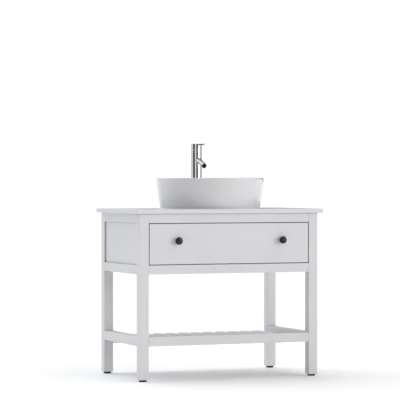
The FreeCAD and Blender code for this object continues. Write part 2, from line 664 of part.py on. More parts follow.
def runner_pair(label, y, length, web, reach, half):
    """One member of both runners: a channel along y, with its web and its flanges' tips at
    these distances from the leg's inner face."""
    body = new_body(label, "0", y, RUNNER_MIDDLE)
    inward = "runner_wall" if value(f"{reach} - {web}") > 0 else "-runner_wall"
    for side in (-1, 1):
        back, face, tip = (f"({side} * ({LEG_INNER} - ({place_})))" for place_ in
                           (web, f"{web} + {inward}", reach))
        inner = f"({half} - runner_wall)"
        corners = [(back, f"-{half}"), (tip, f"-{half}"), (tip, f"-{inner}"), (face, f"-{inner}"),
                   (face, inner), (tip, inner), (tip, half), (back, half)]
        pad(body, outline(body, "XZ_Plane", corners), length, Reversed=True)


def runners():
    """Full-extension runners: the cabinet, middle and drawer members of both sides."""
    cabinet_half = "(runner_height / 2)"
    step = "(runner_wall + runner_play)"
    middle_web = "(runner_wall + runner_web_play)"
    y = f"({FRONT} + runner_setback)"
    runner_pair("cabinet_runners", y, "runner_length", "0", "runner_flange", cabinet_half)
    runner_pair("middle_runners", y, "runner_middle_length", middle_web,
                "runner_flange + runner_web_play", f"({cabinet_half} - {step})")
    runner_pair("drawer_runners", BOX_FRONT, "drawer_box_depth", "runner_thick",
                f"{middle_web} + runner_wall + runner_web_play", f"({cabinet_half} - 2 * {step})")


# ---- basin -------------------------------------------------------------------------------

def ring(label, x, y, z, outer, inner, height):
    """A flat ring."""
    body = new_body(label, x, y, z)
    rings = circle(body, "XY_Plane", "0", "0", outer)
    circle(body, "XY_Plane", "0", "0", inner, sketch=rings)
    pad(body, rings, height)
    return body


def bowl_outline(body, radius, edge, corner, lift):
    """A circle cut straight at y = edge, with round corners of radius `corner` beside the cut."""
    reach = f"sqrt(({radius} - {corner})^2 - ({edge} - {corner})^2)"
    touch = f"({radius} / ({radius} - {corner}))"
    side_x = f"({reach} * {touch})"
    side_y = f"(({edge} - {corner}) * {touch})"
    return outline(body, "XY_Plane", [
        (f"-{reach}", edge, corner), (f"-{side_x}", side_y, radius), ("0", f"-{radius}", radius),
        (side_x, side_y, corner), (reach, edge)], lift)


def basin():
    """The round ceramic basin: a bowl cut straight at the back, where the tap deck stands."""
    body = new_body("basin", "0", BASIN_Y, BASIN_UNDER)
    spin(body, outline(body, "XZ_Plane", [
        ("0", "0"), ("basin_base_radius", "0", "basin_wall_curve"),
        ("basin_rim_radius", SHELL_HEIGHT), ("0", SHELL_HEIGHT)]))
    mouth = "(basin_rim_radius - basin_rim_width)"
    bowl = bowl_outline(body, mouth, "deck_edge", "bowl_corner", SHELL_HEIGHT)
    item = pocket(body, bowl, f"{SHELL_HEIGHT} - basin_floor")
    bind(item, TaperAngle=f"-{BOWL_SLOPE}")
    DOCUMENT.recompute()
    floor = value("basin_floor")
    soften(body, "bowl_blend", lambda edge: abs(edge.BoundBox.ZMax - floor) < SAME_POINT
           and edge.BoundBox.ZLength < SAME_POINT)
    item = pocket(body, circle(body, "XY_Plane", "0", "0", mouth, SHELL_HEIGHT), "deck_drop")
    bind(item, TaperAngle=f"-{BOWL_SLOPE}")
    foot = "(basin_base_radius - basin_foot_width)"
    pocket(body, circle(body, "XY_Plane", "0", "0", foot), "basin_foot_height", Reversed=True)
    chord = "(deck_edge + basin_wall)"
    half = f"sqrt({foot}^2 - {chord}^2)"
    service = outline(body, "XY_Plane", [(f"-{half}", chord), (half, chord, foot)])
    pocket(body, service, f"{SHELL_HEIGHT} - deck_drop - basin_wall", Reversed=True)
    tap_hole = circle(body, "XY_Plane", "0", "tap_setback", "tap_hole_radius", SHELL_HEIGHT)
    pocket(body, tap_hole, "deck_drop + 2 * basin_wall")
    drain = circle(body, "XY_Plane", "0", "0", "waste_radius + waste_play")
    pocket(body, drain, "basin_floor", Reversed=True)
    top = value(SHELL_HEIGHT)
    soften(body, "rim_round", lambda edge: edge.BoundBox.ZMin > top - SAME_POINT)
    ring("basin_seal", "0", BASIN_Y, "top_height", "basin_base_radius - waste_play",
         "basin_base_radius - seal_width", "seal_thick")


# ---- waste and trap ----------------------------------------------------------------------

def waste():
    """The drain: flange with its tail, the push plug and the nut under the countertop."""
    flange = new_body("waste_flange", "0", BASIN_Y, BOWL_FLOOR)
    spin(flange, outline(flange, "XZ_Plane", [
        ("waste_bore_radius", "-waste_tail_length"), ("waste_radius", "-waste_tail_length"),
        ("waste_radius", "0"), ("flange_radius", "0"), ("flange_radius", "flange_thick"),
        ("waste_bore_radius", "flange_thick")]))
    bush_under = "-(plug_bush_drop + plug_bush_height)"
    bush = circle(flange, "XY_Plane", "0", "0", "plug_bush_radius", lift=bush_under)
    circle(flange, "XY_Plane", "0", "0", "plug_stem_radius + pin_play", sketch=bush)
    pad(flange, bush, "plug_bush_height")
    inner = "(plug_bush_radius - spoke_width / 2)"
    outer = "(waste_radius - waste_play)"
    for start in (inner, f"-{outer}"):
        spoke = rectangle(flange, "XY_Plane", start, "-spoke_width / 2", f"{outer} - {inner}", "spoke_width",
                          lift=bush_under)
        pad(flange, spoke, "plug_bush_height")
    plug = new_body("waste_plug", "0", BASIN_Y, f"{BOWL_FLOOR} + flange_thick + plug_lift")
    spin(plug, outline(plug, "XZ_Plane", [
        ("0", "-plug_stem_length"), ("plug_stem_radius", "-plug_stem_length"), ("plug_stem_radius", "0"),
        ("plug_radius", "0"), ("plug_radius", "plug_thick / 2"), ("plug_radius - plug_thick", "plug_thick"),
        ("0", "plug_thick")]))
    ring("waste_nut", "0", BASIN_Y, f"{TOP_UNDER} - waste_nut_height", "waste_nut_radius", "waste_radius",
         "waste_nut_height")


def tube_along_y(body, outer, length):
    """Pad a round bar from the body's origin towards the wall."""
    pad(body, circle(body, "XZ_Plane", "0", "0", outer), length, Reversed=True)


def waste_elbow():
    """The elbow under the drain: a cup round the tail with an outlet towards the wall."""
    body = new_body("waste_elbow", "0", BASIN_Y, PIPE_Z)
    rim = f"({TOP_UNDER} - waste_nut_height - elbow_clearance - {PIPE_Z})"
    bottom = "-(pipe_radius + elbow_sump + elbow_wall)"
    outer = "waste_radius + elbow_wall"
    pad(body, circle(body, "XY_Plane", "0", "0", outer, lift=bottom), f"{rim} - ({bottom})")
    tube_along_y(body, "pipe_radius + elbow_wall", "elbow_outlet")
    pocket(body, circle(body, "XY_Plane", "0", "0", "waste_radius", lift=rim),
           f"{rim} + pipe_radius + elbow_sump")
    pocket(body, circle(body, "XZ_Plane", "0", "0", "pipe_radius"), "elbow_outlet")


def waste_pipe():
    """The pipe from the elbow, round one bend, down into the trap."""
    start = f"({BASIN_Y} + elbow_outlet - pipe_insert)"
    run = f"({TRAP_Y} - {start})"
    drop = f"({PIPE_Z} - {TRAP_TOP} + dip_depth)"
    body = new_body("waste_pipe", "0", start, PIPE_Z)
    section = circle(body, "XZ_Plane", "0", "0", "pipe_radius")
    circle(body, "XZ_Plane", "0", "0", "pipe_radius - pipe_wall", sketch=section)
    path = new_sketch(body, "YZ_Plane")
    bend_y = value(f"{run} - pipe_bend")
    bend = value("pipe_bend")
    centre = FreeCAD.Vector(bend_y, -bend, 0)
    diagonal = FreeCAD.Vector(1, 1, 0).normalize()
    path.addGeometry(Part.LineSegment(FreeCAD.Vector(0, 0, 0), FreeCAD.Vector(bend_y, 0, 0)), False)
    path.addGeometry(Part.Arc(FreeCAD.Vector(bend_y, 0, 0), centre + diagonal * bend,
                              FreeCAD.Vector(bend_y + bend, -bend, 0)), False)
    path.addGeometry(Part.LineSegment(FreeCAD.Vector(bend_y + bend, -bend, 0),
                                      FreeCAD.Vector(bend_y + bend, -value(drop), 0)), False)
    path.addConstraint(Sketcher.Constraint("Coincident", 0, 1, -1, 1))
    path.addConstraint(Sketcher.Constraint("Horizontal", 0))
    path.addConstraint(Sketcher.Constraint("Vertical", 2))
    path.addConstraint(Sketcher.Constraint("Tangent", 0, 2, 1, 2))
    path.addConstraint(Sketcher.Constraint("Tangent", 1, 1, 2, 1))
    tie(path, "Radius", 1, "pipe_bend")
    tie(path, "DistanceX", -1, 1, 2, 2, run)
    tie(path, "DistanceY", 2, 2, -1, 1, drop)
    pipe = feature(body, "AdditivePipe", section)
    pipe.Spine = (path, ["Edge1", "Edge2", "Edge3"])
    DOCUMENT.recompute()


def trap():
    """The bottle trap behind the drawer, its screwed cup and its outlet to the wall."""
    body = new_body("trap_body", "0", TRAP_Y, TRAP_TOP)
    socket = "pipe_radius + trap_wall"
    pad(body, circle(body, "XY_Plane", "0", "0", "trap_radius", lift=f"-{TRAP_BODY}"), TRAP_BODY)
    pad(body, circle(body, "XY_Plane", "0", "0", socket), "trap_neck")
    stub = circle(body, "XZ_Plane", "0", "-outlet_drop", socket)
    pad(body, stub, "trap_outlet", Reversed=True)
    chamber = circle(body, "XY_Plane", "0", "0", "trap_radius - trap_wall", lift=f"-{TRAP_BODY}")
    pocket(body, chamber, f"{TRAP_BODY} - trap_wall", Reversed=True)
    pocket(body, circle(body, "XY_Plane", "0", "0", "pipe_radius", lift="trap_neck"), "trap_neck + trap_wall")
    pocket(body, circle(body, "XZ_Plane", "0", "-outlet_drop", "pipe_radius"), "trap_outlet")
    cup_top = f"(trap_cup_lap - {TRAP_BODY})"
    cup = new_body("trap_cup", "0", TRAP_Y, f"{TRAP_TOP} + {cup_top} - trap_cup_height")
    spin(cup, outline(cup, "XZ_Plane", [
        ("0", "0"), ("trap_radius + trap_wall", "0"), ("trap_radius + trap_wall", "trap_cup_height"),
        ("trap_radius", "trap_cup_height"), ("trap_radius", "trap_wall"), ("0", "trap_wall")]))
    start = f"({TRAP_Y} + trap_outlet - pipe_insert)"
    covered = "(pipe_insert + slip_nut_height / 2)"
    end = f"({REAR} + rear_overhang - outlet_end - {start})"
    inner = "pipe_radius - pipe_wall"
    outlet = new_body("trap_outlet", "0", start, OUTLET_Z)
    spin(outlet, outline(outlet, "YZ_Plane", [
        ("0", inner), (end, inner), (end, "pipe_radius"), (covered, "pipe_radius"),
        (covered, "pipe_radius - spigot_play"), ("0", "pipe_radius - spigot_play")]), "H_Axis")


def slip_nut(x, y, z, socket_radius, axis):
    """A nut whose wide end covers a socket's rim and whose narrow end closes on the pipe."""
    lap = value("slip_nut_height") / 2
    widest = value("pipe_radius + max(elbow_wall; trap_wall) + slip_nut_wall")
    outer = Part.makeCylinder(widest, 2 * lap, FreeCAD.Vector(0, 0, -lap))
    pipe_hole = Part.makeCylinder(value("pipe_radius"), 2 * lap, FreeCAD.Vector(0, 0, -lap))
    socket_hole = Part.makeCylinder(value(socket_radius), lap, FreeCAD.Vector(0, 0, -lap))
    nut = outer.cut(pipe_hole).cut(socket_hole)
    turn = FreeCAD.Rotation(FreeCAD.Vector(0, 0, 1), axis)
    nut.Placement = FreeCAD.Placement(FreeCAD.Vector(value(x), value(y), value(z)), turn)
    return nut


def slip_nuts():
    """The three nuts at the elbow, the trap's neck and the trap's outlet."""
    to_wall = FreeCAD.Vector(0, 1, 0)
    trap_socket = "pipe_radius + trap_wall"
    screw_group("slip_nuts", [
        slip_nut("0", f"{BASIN_Y} + elbow_outlet", PIPE_Z, "pipe_radius + elbow_wall", to_wall),
        slip_nut("0", TRAP_Y, f"{TRAP_TOP} + trap_neck", trap_socket, FreeCAD.Vector(0, 0, 1)),
        slip_nut("0", f"{TRAP_Y} + trap_outlet", OUTLET_Z, trap_socket, to_wall)])


# ---- tap ---------------------------------------------------------------------------------

def lean(item):
    """Turn an upright item so that its axis points forwards and down the spout's slope."""
    item.Placement.Rotation = FreeCAD.Rotation(FreeCAD.Vector(1, 0, 0), 1)
    bind(item, Placement__Rotation__Angle="90 + spout_drop")


def tap_column():
    """The tap's fixed parts: gasket ring, column with its shank, collar, cartridge and nut."""
    ring("tap_base_ring", "0", TAP_Y, DECK_TOP, "tap_radius", "tap_hole_radius", "base_ring_height")
    body = new_body("tap_body", "0", TAP_Y, COLUMN_FOOT)
    column = f"({COLUMN_TOP} - {COLUMN_FOOT})"
    spin(body, outline(body, "XZ_Plane", [
        ("0", "-shank_length"), ("shank_radius", "-shank_length"), ("shank_radius", "0"),
        ("tap_radius", "0"), ("tap_radius", column), ("0", column)]))
    pocket(body, circle(body, "XY_Plane", "0", "0", "cartridge_radius", lift=column), "cartridge_length")
    for radius, depth in (("inlet_radius", "inlet_depth"),
                          ("waterway_radius", f"shank_length + {column} - cartridge_length")):
        holes = None
        for sign in ("-", "+"):
            holes = circle(body, "XY_Plane", f"{sign}inlet_offset", "0", radius, "-shank_length",
                           sketch=holes)
        pocket(body, holes, depth, Reversed=True)
    outlet = body.newObject("PartDesign::SubtractiveCylinder", "tap_body_outlet")
    bind(outlet, Radius="spout_radius - spout_wall", Height="2 * tap_radius",
         Placement__Base__z=f"{SPOUT_Z} - {COLUMN_FOOT}")
    lean(outlet)
    DOCUMENT.recompute()
    stem_hole = "stem_radius + pin_play"
    ring("tap_collar", "0", TAP_Y, COLUMN_TOP, "tap_radius", stem_hole, "collar_height")
    cartridge = new_body("tap_cartridge", "0", TAP_Y, COLUMN_TOP)
    pad(cartridge, circle(cartridge, "XY_Plane", "0", "0", "cartridge_radius"), "cartridge_length",
        Reversed=True)
    pocket(cartridge, circle(cartridge, "XY_Plane", "0", "0", stem_hole), "stem_in_cartridge")
    deck_under = f"({DECK_TOP} - basin_wall)"
    ring("tap_shank_nut", "0", TAP_Y, f"{deck_under} - shank_nut_height", "shank_nut_radius",
         "shank_radius", "shank_nut_height")


def tap_spout():
    """A straight tube that leans down from the column, with its end shaped to the column."""
    parts = {}
    for name, radius, length in (("tube", "spout_radius", "spout_length"),
                                 ("bore", "spout_radius - spout_wall", "spout_length"),
                                 ("column", "tap_radius", "4 * tap_radius")):
        parts[name] = DOCUMENT.addObject("Part::Cylinder", "spout_" + name)
        bind(parts[name], Radius=radius, Height=length)
        place(parts[name], "0", TAP_Y, SPOUT_Z if name != "column" else f"{SPOUT_Z} - 2 * tap_radius")
        if name != "column":
            lean(parts[name])
    hollow = DOCUMENT.addObject("Part::Cut", "spout_hollow")
    hollow.Base = parts["tube"]
    hollow.Tool = parts["bore"]
    spout = DOCUMENT.addObject("Part::Cut", "tap_spout")
    spout.Label = "tap_spout"
    spout.Base = hollow
    spout.Tool = parts["column"]
    PIECES.append(spout)
    aerator = new_body("tap_aerator", "0", TAP_Y, SPOUT_Z)
    lean(aerator)
    bore = "(spout_radius - spout_wall)"
    face = "(spout_length - aerator_recess)"
    spin(aerator, outline(aerator, "XZ_Plane", [
        ("0", "spout_length - aerator_length"), (bore, "spout_length - aerator_length"),
        (bore, "spout_length"), (f"{bore} - spout_wall", "spout_length"), (f"{bore} - spout_wall", face),
        ("0", face)]))


def tap_handle():
    """The parts that turn and lift: stem, cap, lever and its pin."""
    stem_under = f"({COLUMN_TOP} - stem_in_cartridge)"
    cap_under = f"({TAP_TOP} - cap_height)"
    stem = new_body("cartridge_stem", "0", TAP_Y, stem_under)
    pad(stem, circle(stem, "XY_Plane", "0", "0", "stem_radius"), f"{cap_under} + stem_in_cap - {stem_under}")
    cap = new_body("tap_cap", "0", TAP_Y, cap_under)
    pad(cap, circle(cap, "XY_Plane", "0", "0", "tap_radius"), "cap_height")
    soften(cap, "cap_round")
    pocket(cap, circle(cap, "XY_Plane", "0", "0", "stem_radius"), "stem_in_cap", Reversed=True)
    slot_half = "(lever_width / 2 + lever_slot_play)"
    slot_end = "(lever_pin_setback + lever_thick / 2 + lever_slot_play)"
    slot = rectangle(cap, "XY_Plane", f"-{slot_half}", "-2 * tap_radius", f"2 * {slot_half}",
                     f"2 * tap_radius + {slot_end}", lift="cap_height")
    pocket(cap, slot, "lever_thick + lever_slot_play")
    pin_z = "(cap_height - lever_thick / 2)"
    pin_hole = circle(cap, "YZ_Plane", "lever_pin_setback", pin_z, "lever_pin_radius", "lever_pin_length / 2")
    pocket(cap, pin_hole, "lever_pin_length")
    pin_place = ("0", f"{TAP_Y} + lever_pin_setback", f"{cap_under} + {pin_z}")
    pin = new_body("lever_pin", *pin_place)
    pad(pin, circle(pin, "YZ_Plane", "0", "0", "lever_pin_radius", "-lever_pin_length / 2"),
        "lever_pin_length")
    lever = new_body("tap_lever", *pin_place)
    half = "lever_thick / 2"
    tip = "-(lever_reach + lever_pin_setback)"
    blade = outline(lever, "YZ_Plane", [
        ("0", f"-{half}", half), (half, "0", half), ("0", half), (tip, half), (tip, f"-{half}")],
        lift="-lever_width / 2")
    pad(lever, blade, "lever_width")
    pocket(lever, circle(lever, "YZ_Plane", "0", "0", "lever_pin_radius + pin_play", "lever_width / 2"),
           "lever_width")


def check_and_write():
    """Make sure that everything was built, then write one file for each sub-part."""
    DOCUMENT.recompute()
    for item in DOCUMENT.Objects:
        if {"Invalid", "Error"} & set(item.State):
            raise RuntimeError(item.Name + " was not built: " + ", ".join(item.State))
    for piece in PIECES:
        if piece.Shape.isNull() or not piece.Shape.isValid():
            raise RuntimeError(piece.Label + " has no valid shape")
    os.makedirs("parts", exist_ok=True)
    for piece in PIECES:
        piece.Shape.exportStep(f"parts/{piece.Label}.step")
    print(len(PIECES), "sub-parts written")


def main():
    """Build the whole washstand."""
    fill_sheet()
    for end_name, end in (("front", -1), ("rear", 1)):
        leg(f"leg_{end_name}_left", -1, end)
        leg(f"leg_{end_name}_right", 1, end)
    for side_name, side in (("left", -1), ("right", 1)):
        side_rail(f"side_top_rail_{side_name}", side, True)
        side_rail(f"side_bottom_rail_{side_name}", side, False)
        side_panel(f"side_panel_{side_name}", side)
    front_rail("front_top_rail", BAY_UPPER, "upper_rail_height", True)
    front_rail("front_bottom_rail", APRON_UNDER, "lower_rail_height", False)
    cross_rail("back_bottom_rail", f"{REAR} - back_rail_thick", APRON_UNDER, "back_rail_thick",
               "lower_rail_height")
    back_top_rail()
    shelf()
    countertop()
    top_brackets()
    bracket_screws()
    feet()
    drawer()
    knobs()
    runners()
    basin()
    waste()
    waste_elbow()
    waste_pipe()
    trap()
    slip_nuts()
    tap_column()
    tap_spout()
    tap_handle()
    check_and_write()


main()
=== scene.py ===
import math

import bmesh
import bpy
from mathutils import Matrix, Vector


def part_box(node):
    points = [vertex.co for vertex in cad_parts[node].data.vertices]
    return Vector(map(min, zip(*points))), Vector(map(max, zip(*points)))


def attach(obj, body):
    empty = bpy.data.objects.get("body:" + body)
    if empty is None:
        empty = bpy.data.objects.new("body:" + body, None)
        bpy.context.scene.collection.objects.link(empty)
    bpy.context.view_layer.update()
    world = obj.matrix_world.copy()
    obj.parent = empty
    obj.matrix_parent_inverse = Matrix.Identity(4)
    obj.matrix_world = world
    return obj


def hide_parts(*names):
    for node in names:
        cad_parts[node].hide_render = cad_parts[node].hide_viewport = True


bl_info = {
    "name": "Washstand finish",
    "version": (1, 0, 0),
    "blender": (4, 5, 0),
    "location": "3D View > Sidebar > Washstand",
    "description": "Paint, glaze, chrome and the turned pieces of a washstand with a vessel basin",
    "category": "Object",
}

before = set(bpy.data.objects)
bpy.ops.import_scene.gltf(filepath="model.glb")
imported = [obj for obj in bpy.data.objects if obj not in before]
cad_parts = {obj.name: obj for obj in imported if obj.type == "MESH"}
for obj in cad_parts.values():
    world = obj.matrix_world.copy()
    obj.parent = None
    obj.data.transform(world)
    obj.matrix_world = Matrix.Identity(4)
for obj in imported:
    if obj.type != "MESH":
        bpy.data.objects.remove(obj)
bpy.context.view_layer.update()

MM = 0.001
# corners nearer than this are one
MERGE = 1e-6

LEGS = ("leg_front_left", "leg_front_right", "leg_rear_left", "leg_rear_right")
UPRIGHT = LEGS + ("side_panel_left", "side_panel_right")
CROSSWISE = ("front_top_rail", "front_bottom_rail", "back_top_rail", "back_bottom_rail",
             "shelf_front_rail", "shelf_rear_rail", "drawer_front")
DEEPWISE = ("side_top_rail_left", "side_top_rail_right", "side_bottom_rail_left",
            "side_bottom_rail_right", "shelf_side_rail_left", "shelf_side_rail_right", "shelf_slats")
DRAWER_BOARDS = ("drawer_side_left", "drawer_side_right", "drawer_back", "drawer_bottom")
ZINC_PARTS = ("top_brackets", "bracket_screws", "cabinet_runners", "middle_runners",
              "drawer_runners", "knob_screws", "lever_pin")
BRASS_PARTS = ("cartridge_stem", "foot_sleeves")
FEET = ("front_left", "front_right", "rear_left", "rear_right")
SIDES = ("left", "right")


def linear(code):
    """A six-digit sRGB colour as linear red, green, blue."""
    shares = [int(code[i:i + 2], 16) / 255 for i in (0, 2, 4)]
    return tuple(c / 12.92 if c <= 0.04045 else ((c + 0.055) / 1.055) ** 2.4 for c in shares)


def rgba(colour, tone=1.0):
    """The colour, made lighter or darker by tone, with full opacity."""
    return (*(min(c * tone, 1.0) for c in colour), 1.0)


def middle(node):
    """The middle of a CAD node's box."""
    low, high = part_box(node)
    return (low + high) / 2


def axis_at(node, height=0.0):
    """The point on a CAD node's upright axis at a height above the floor."""
    centre = middle(node)
    return Vector((centre.x, centre.y, height))


def half_width(node):
    """Half of a CAD node's width, which is the radius of a turned one."""
    low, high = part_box(node)
    return (high.x - low.x) / 2


def colour_setting(name, description, code):
    """A colour that a user can change, as a property."""
    return bpy.props.FloatVectorProperty(name=name, description=description, subtype="COLOR", size=3,
                                         min=0, max=1, default=linear(code))


def length_setting(name, description, millimetres):
    """A length that a user can change, as a property."""
    return bpy.props.FloatProperty(name=name, description=description, subtype="DISTANCE",
                                   unit="LENGTH", min=0, default=millimetres * MM)


def angle_setting(name, description, degrees):
    """An angle that a user can change, as a property."""
    return bpy.props.FloatProperty(name=name, description=description, subtype="ANGLE",
                                   unit="ROTATION", default=math.radians(degrees))


class WashstandColours(bpy.types.PropertyGroup):
    """The colours of the finishes."""
    paint: colour_setting("Paint", "Satin paint on the carcass and drawer front", "D5D5D7")
    board: colour_setting("Drawer board", "Foil on the drawer's boards", "DDDBD6")
    glaze: colour_setting("Glaze", "Fired glaze of the basin", "D1D1D3")
    chrome: colour_setting("Chrome", "Chrome plating, as it reflects straight on", "C4C5C5")
    zinc: colour_setting("Zinc", "Zinc plating on the steel fittings", "C3C6C9")
    brass: colour_setting("Brass", "Bare turned brass", "E5C56F")
    pipe: colour_setting("Waste pipe", "Moulded polypropylene of the waste and trap", "E9E9E6")
    knob: colour_setting("Knob", "Powder coat of the knobs", "0B0B0C")
    foot: colour_setting("Foot", "Moulded nylon of the levelling feet", "17171A")
    seal: colour_setting("Seal", "Cured silicone under the basin", "E4E5E5")
    floor: colour_setting("Floor", "Studio floor", "FAFAFA")


class WashstandSizes(bpy.types.PropertyGroup):
    """The sizes of the pieces that are shaped here."""
    rim_flat: length_setting("Rim flat", "Flat of the basin's rim", 9)
    rim_round: length_setting("Rim rounding", "Rounding of the rim's two edges", 3.2)
    foot_width: length_setting("Foot ring", "Ring that the basin stands on", 14)
    wall_bulge: length_setting("Wall bulge", "How far the basin's wall stands past a straight line", 3.1)
    deck_drop: length_setting("Deck drop", "Tap deck below the rim", 4)
    deck_edge: length_setting("Deck edge", "Deck's front edge behind the basin's middle", 112)
    deck_round: length_setting("Deck rounding", "Rounding of the deck's front edge", 4)
    bowl_floor: length_setting("Bowl floor", "Bowl's floor above the basin's base", 18)
    bowl_blend: length_setting("Bowl blend", "Rounding between the bowl's wall and floor", 28)
    ceramic_wall: length_setting("Ceramic wall", "Thickness of the deck and the bowl's back wall", 12)
    drain_radius: length_setting("Drain hole", "Hole in the bowl's floor", 19.5)
    tap_hole_radius: length_setting("Tap hole", "Hole in the tap deck", 17.5)
    spout_length: length_setting("Spout", "Spout along its axis", 96)
    spout_radius: length_setting("Spout radius", "Outside of the spout tube", 11.5)
    spout_wall: length_setting("Spout wall", "Wall of the spout tube", 1.5)
    spout_slope: angle_setting("Spout slope", "Spout's fall from the level", 20)
    knob_foot: length_setting("Knob foot", "Radius of the knob where it meets the drawer front", 9)
    knob_neck: length_setting("Knob neck", "Radius of the knob's neck", 6.5)
    camera_focal: bpy.props.FloatProperty(name="Focal length", description="Focal length in millimetres",
                                          default=193.3)
    camera_side: angle_setting("Camera turn", "Camera's turn from straight on", 22.17)
    camera_height: length_setting("Camera height", "Lens above the floor", 841)
    camera_distance: length_setting("Camera distance", "Lens from the piece's middle", 9318)


def sizes():
    """The sizes in the scene."""
    return bpy.context.scene.washstand_sizes


def colours():
    """The colours in the scene."""
    return bpy.context.scene.washstand_colours


# ---- shaping -----------------------------------------------------------------------------

TURN_STEPS = 96
ROUND_STEPS = 4
CREASE = math.radians(32)


def turned(profile, closed=False, steps=TURN_STEPS):
    """A shape turned on Z from (radius, height, rounding) points, in order along its outline."""
    shape = bmesh.new()
    corners = [shape.verts.new((radius, 0, height)) for radius, height, _ in profile]
    ends = corners[1:] + corners[:1] if closed else corners[1:]
    for start, end in zip(corners, ends):
        shape.edges.new((start, end))
    for corner, (_, _, rounding) in zip(corners, profile):
        if rounding:
            bmesh.ops.bevel(shape, geom=[corner], offset=rounding, offset_type="OFFSET",
                            segments=ROUND_STEPS, profile=0.5, affect="VERTICES", material=-1)
    bmesh.ops.spin(shape, geom=shape.verts[:] + shape.edges[:], cent=(0, 0, 0), axis=(0, 0, 1),
                   dvec=(0, 0, 0), angle=math.tau, steps=steps, use_merge=True, use_duplicate=False)
    return shape


def arc(middle_radius, middle_height, radius, start, end, steps=6, rise=None):
    """Profile points along an arc, from start to end in degrees. A dome lower than its radius has a rise."""
    points = []
    for step in range(steps + 1):
        angle = math.radians(start + (end - start) * step / steps)
        points.append((middle_radius + radius * math.cos(angle),
                       middle_height + (rise or radius) * math.sin(angle), 0))
    return points


def threaded(radius, low, high, pitch):
    """Profile points of a thread, from high down to low: a ridge and a groove for each turn."""
    ridge, groove, depth = pitch * 0.3, pitch * 0.8, pitch * 0.6
    points = []
    for turn in range(int((high - low) / pitch)):
        height = high - turn * pitch
        points += [(radius, height - ridge, 0), (radius - depth, height - groove, 0)]
    return points


def moved(shape, place, turn=None):
    """Turn the shape about its origin, then set it in its place."""
    if turn is not None:
        bmesh.ops.rotate(shape, verts=shape.verts[:], cent=(0, 0, 0), matrix=turn)
    bmesh.ops.translate(shape, verts=shape.verts[:], vec=place)
    return shape


def gripped(shape, radius, chosen, depth):
    """Press the chosen corners of a turned side inwards, by the depth at their angle."""
    for vert in shape.verts:
        if chosen(vert.co):
            shrink = 1 - depth(math.atan2(vert.co.y, vert.co.x)) / radius
            vert.co.x *= shrink
            vert.co.y *= shrink
    return shape


def joined(*shapes):
    """Several shapes as one, each a closed shell of its own."""
    together = bmesh.new()
    for shape in shapes:
        carrier = bpy.data.meshes.new("carrier")
        shape.to_mesh(carrier)
        shape.free()
        together.from_mesh(carrier)
        bpy.data.meshes.remove(carrier)
    return together


def closed_up(shape):
    """Merge doubled corners and point every face outwards."""
    bmesh.ops.remove_doubles(shape, verts=shape.verts[:], dist=MERGE)
    bmesh.ops.recalc_face_normals(shape, faces=shape.faces[:])
    return shape


def block(low, high):
    """A block between two corners."""
    low, high = Vector(low), Vector(high)
    shape = bmesh.new()
    bmesh.ops.create_cube(shape, size=1)
    bmesh.ops.scale(shape, vec=high - low, verts=shape.verts[:])
    return moved(shape, (high + low) / 2)


def rounded(shape, width, chosen=None, segments=ROUND_STEPS):
    """Round the chosen edges, or all sharp ones."""
    test = chosen or (lambda edge: edge.calc_face_angle(0) > CREASE)
    edges = [edge for edge in shape.edges if test(edge)]
    bmesh.ops.bevel(shape, geom=edges, offset=width, offset_type="OFFSET", segments=segments,
                    profile=0.5, affect="EDGES", clamp_overlap=True, material=-1)
    return shape


def piece(shape, name, finish, body, *nodes):
    """Store a shape as a finished piece that rides on a body and stands for CAD nodes."""
    mesh = bpy.data.meshes.new(name)
    closed_up(shape).to_mesh(mesh)
    shape.free()
    mesh.materials.append(FINISHES[finish])
    item = bpy.data.objects.new(name, mesh)
    bpy.context.scene.collection.objects.link(item)
    smooth(item)
    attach(item, body)
    if nodes:
        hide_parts(*nodes)
    return item


def smooth(item):
    """Smooth shading that keeps flat faces flat and true edges sharp."""
    item.data.shade_smooth()
    item.data.set_sharp_from_angle(angle=CREASE)
    flat = item.modifiers.new("Flat faces", "WEIGHTED_NORMAL")
    flat.keep_sharp = True


def carve(item, shape):
    """Cut a closed shape out of a piece."""
    tool_mesh = bpy.data.meshes.new("cutter")
    closed_up(shape).to_mesh(tool_mesh)
    shape.free()
    tool = bpy.data.objects.new("cutter", tool_mesh)
    bpy.context.scene.collection.objects.link(tool)
    cut = item.modifiers.new("Cut", "BOOLEAN")
    cut.operation = "DIFFERENCE"
    cut.solver = "EXACT"
    cut.object = tool
    graph = bpy.context.evaluated_depsgraph_get()
    result = bpy.data.meshes.new_from_object(item.evaluated_get(graph))
    result.name = item.name
    old = item.data
    item.modifiers.clear()
    item.data = result
    bpy.data.meshes.remove(old)
    bpy.data.objects.remove(tool)
    smooth(item)


def smoothed_copy(node, name, finish, body):
    """A CAD node's own shape, merged and shaded smooth, in its place."""
    shape = bmesh.new()
    shape.from_mesh(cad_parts[node].data)
    piece(shape, name, finish, body, node)


def islands(node):
    """The box of each separate solid of a CAD node, as (low, high) corners."""
    shape = bmesh.new()
    shape.from_mesh(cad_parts[node].data)
    bmesh.ops.remove_doubles(shape, verts=shape.verts[:], dist=MERGE)
    waiting = set(shape.verts)
    boxes = []
    while waiting:
        reached = [waiting.pop()]
        for vert in reached:
            for edge in vert.link_edges:
                other = edge.other_vert(vert)
                if other in waiting:
                    waiting.discard(other)
                    reached.append(other)
        low = Vector([min(v.co[i] for v in reached) for i in range(3)])
        high = Vector([max(v.co[i] for v in reached) for i in range(3)])
        boxes.append((low, high))
    shape.free()
    # to a tenth of a millimetre, so that the order doesn't hang on the last digit
    return sorted(boxes, key=lambda box: tuple(round(c, 4) for c in box[0]))


# ---- finishes ----------------------------------------------------------------------------

# nearly all of a noise's values lie between these
NOISE_LOW, NOISE_HIGH = 0.3, 0.7


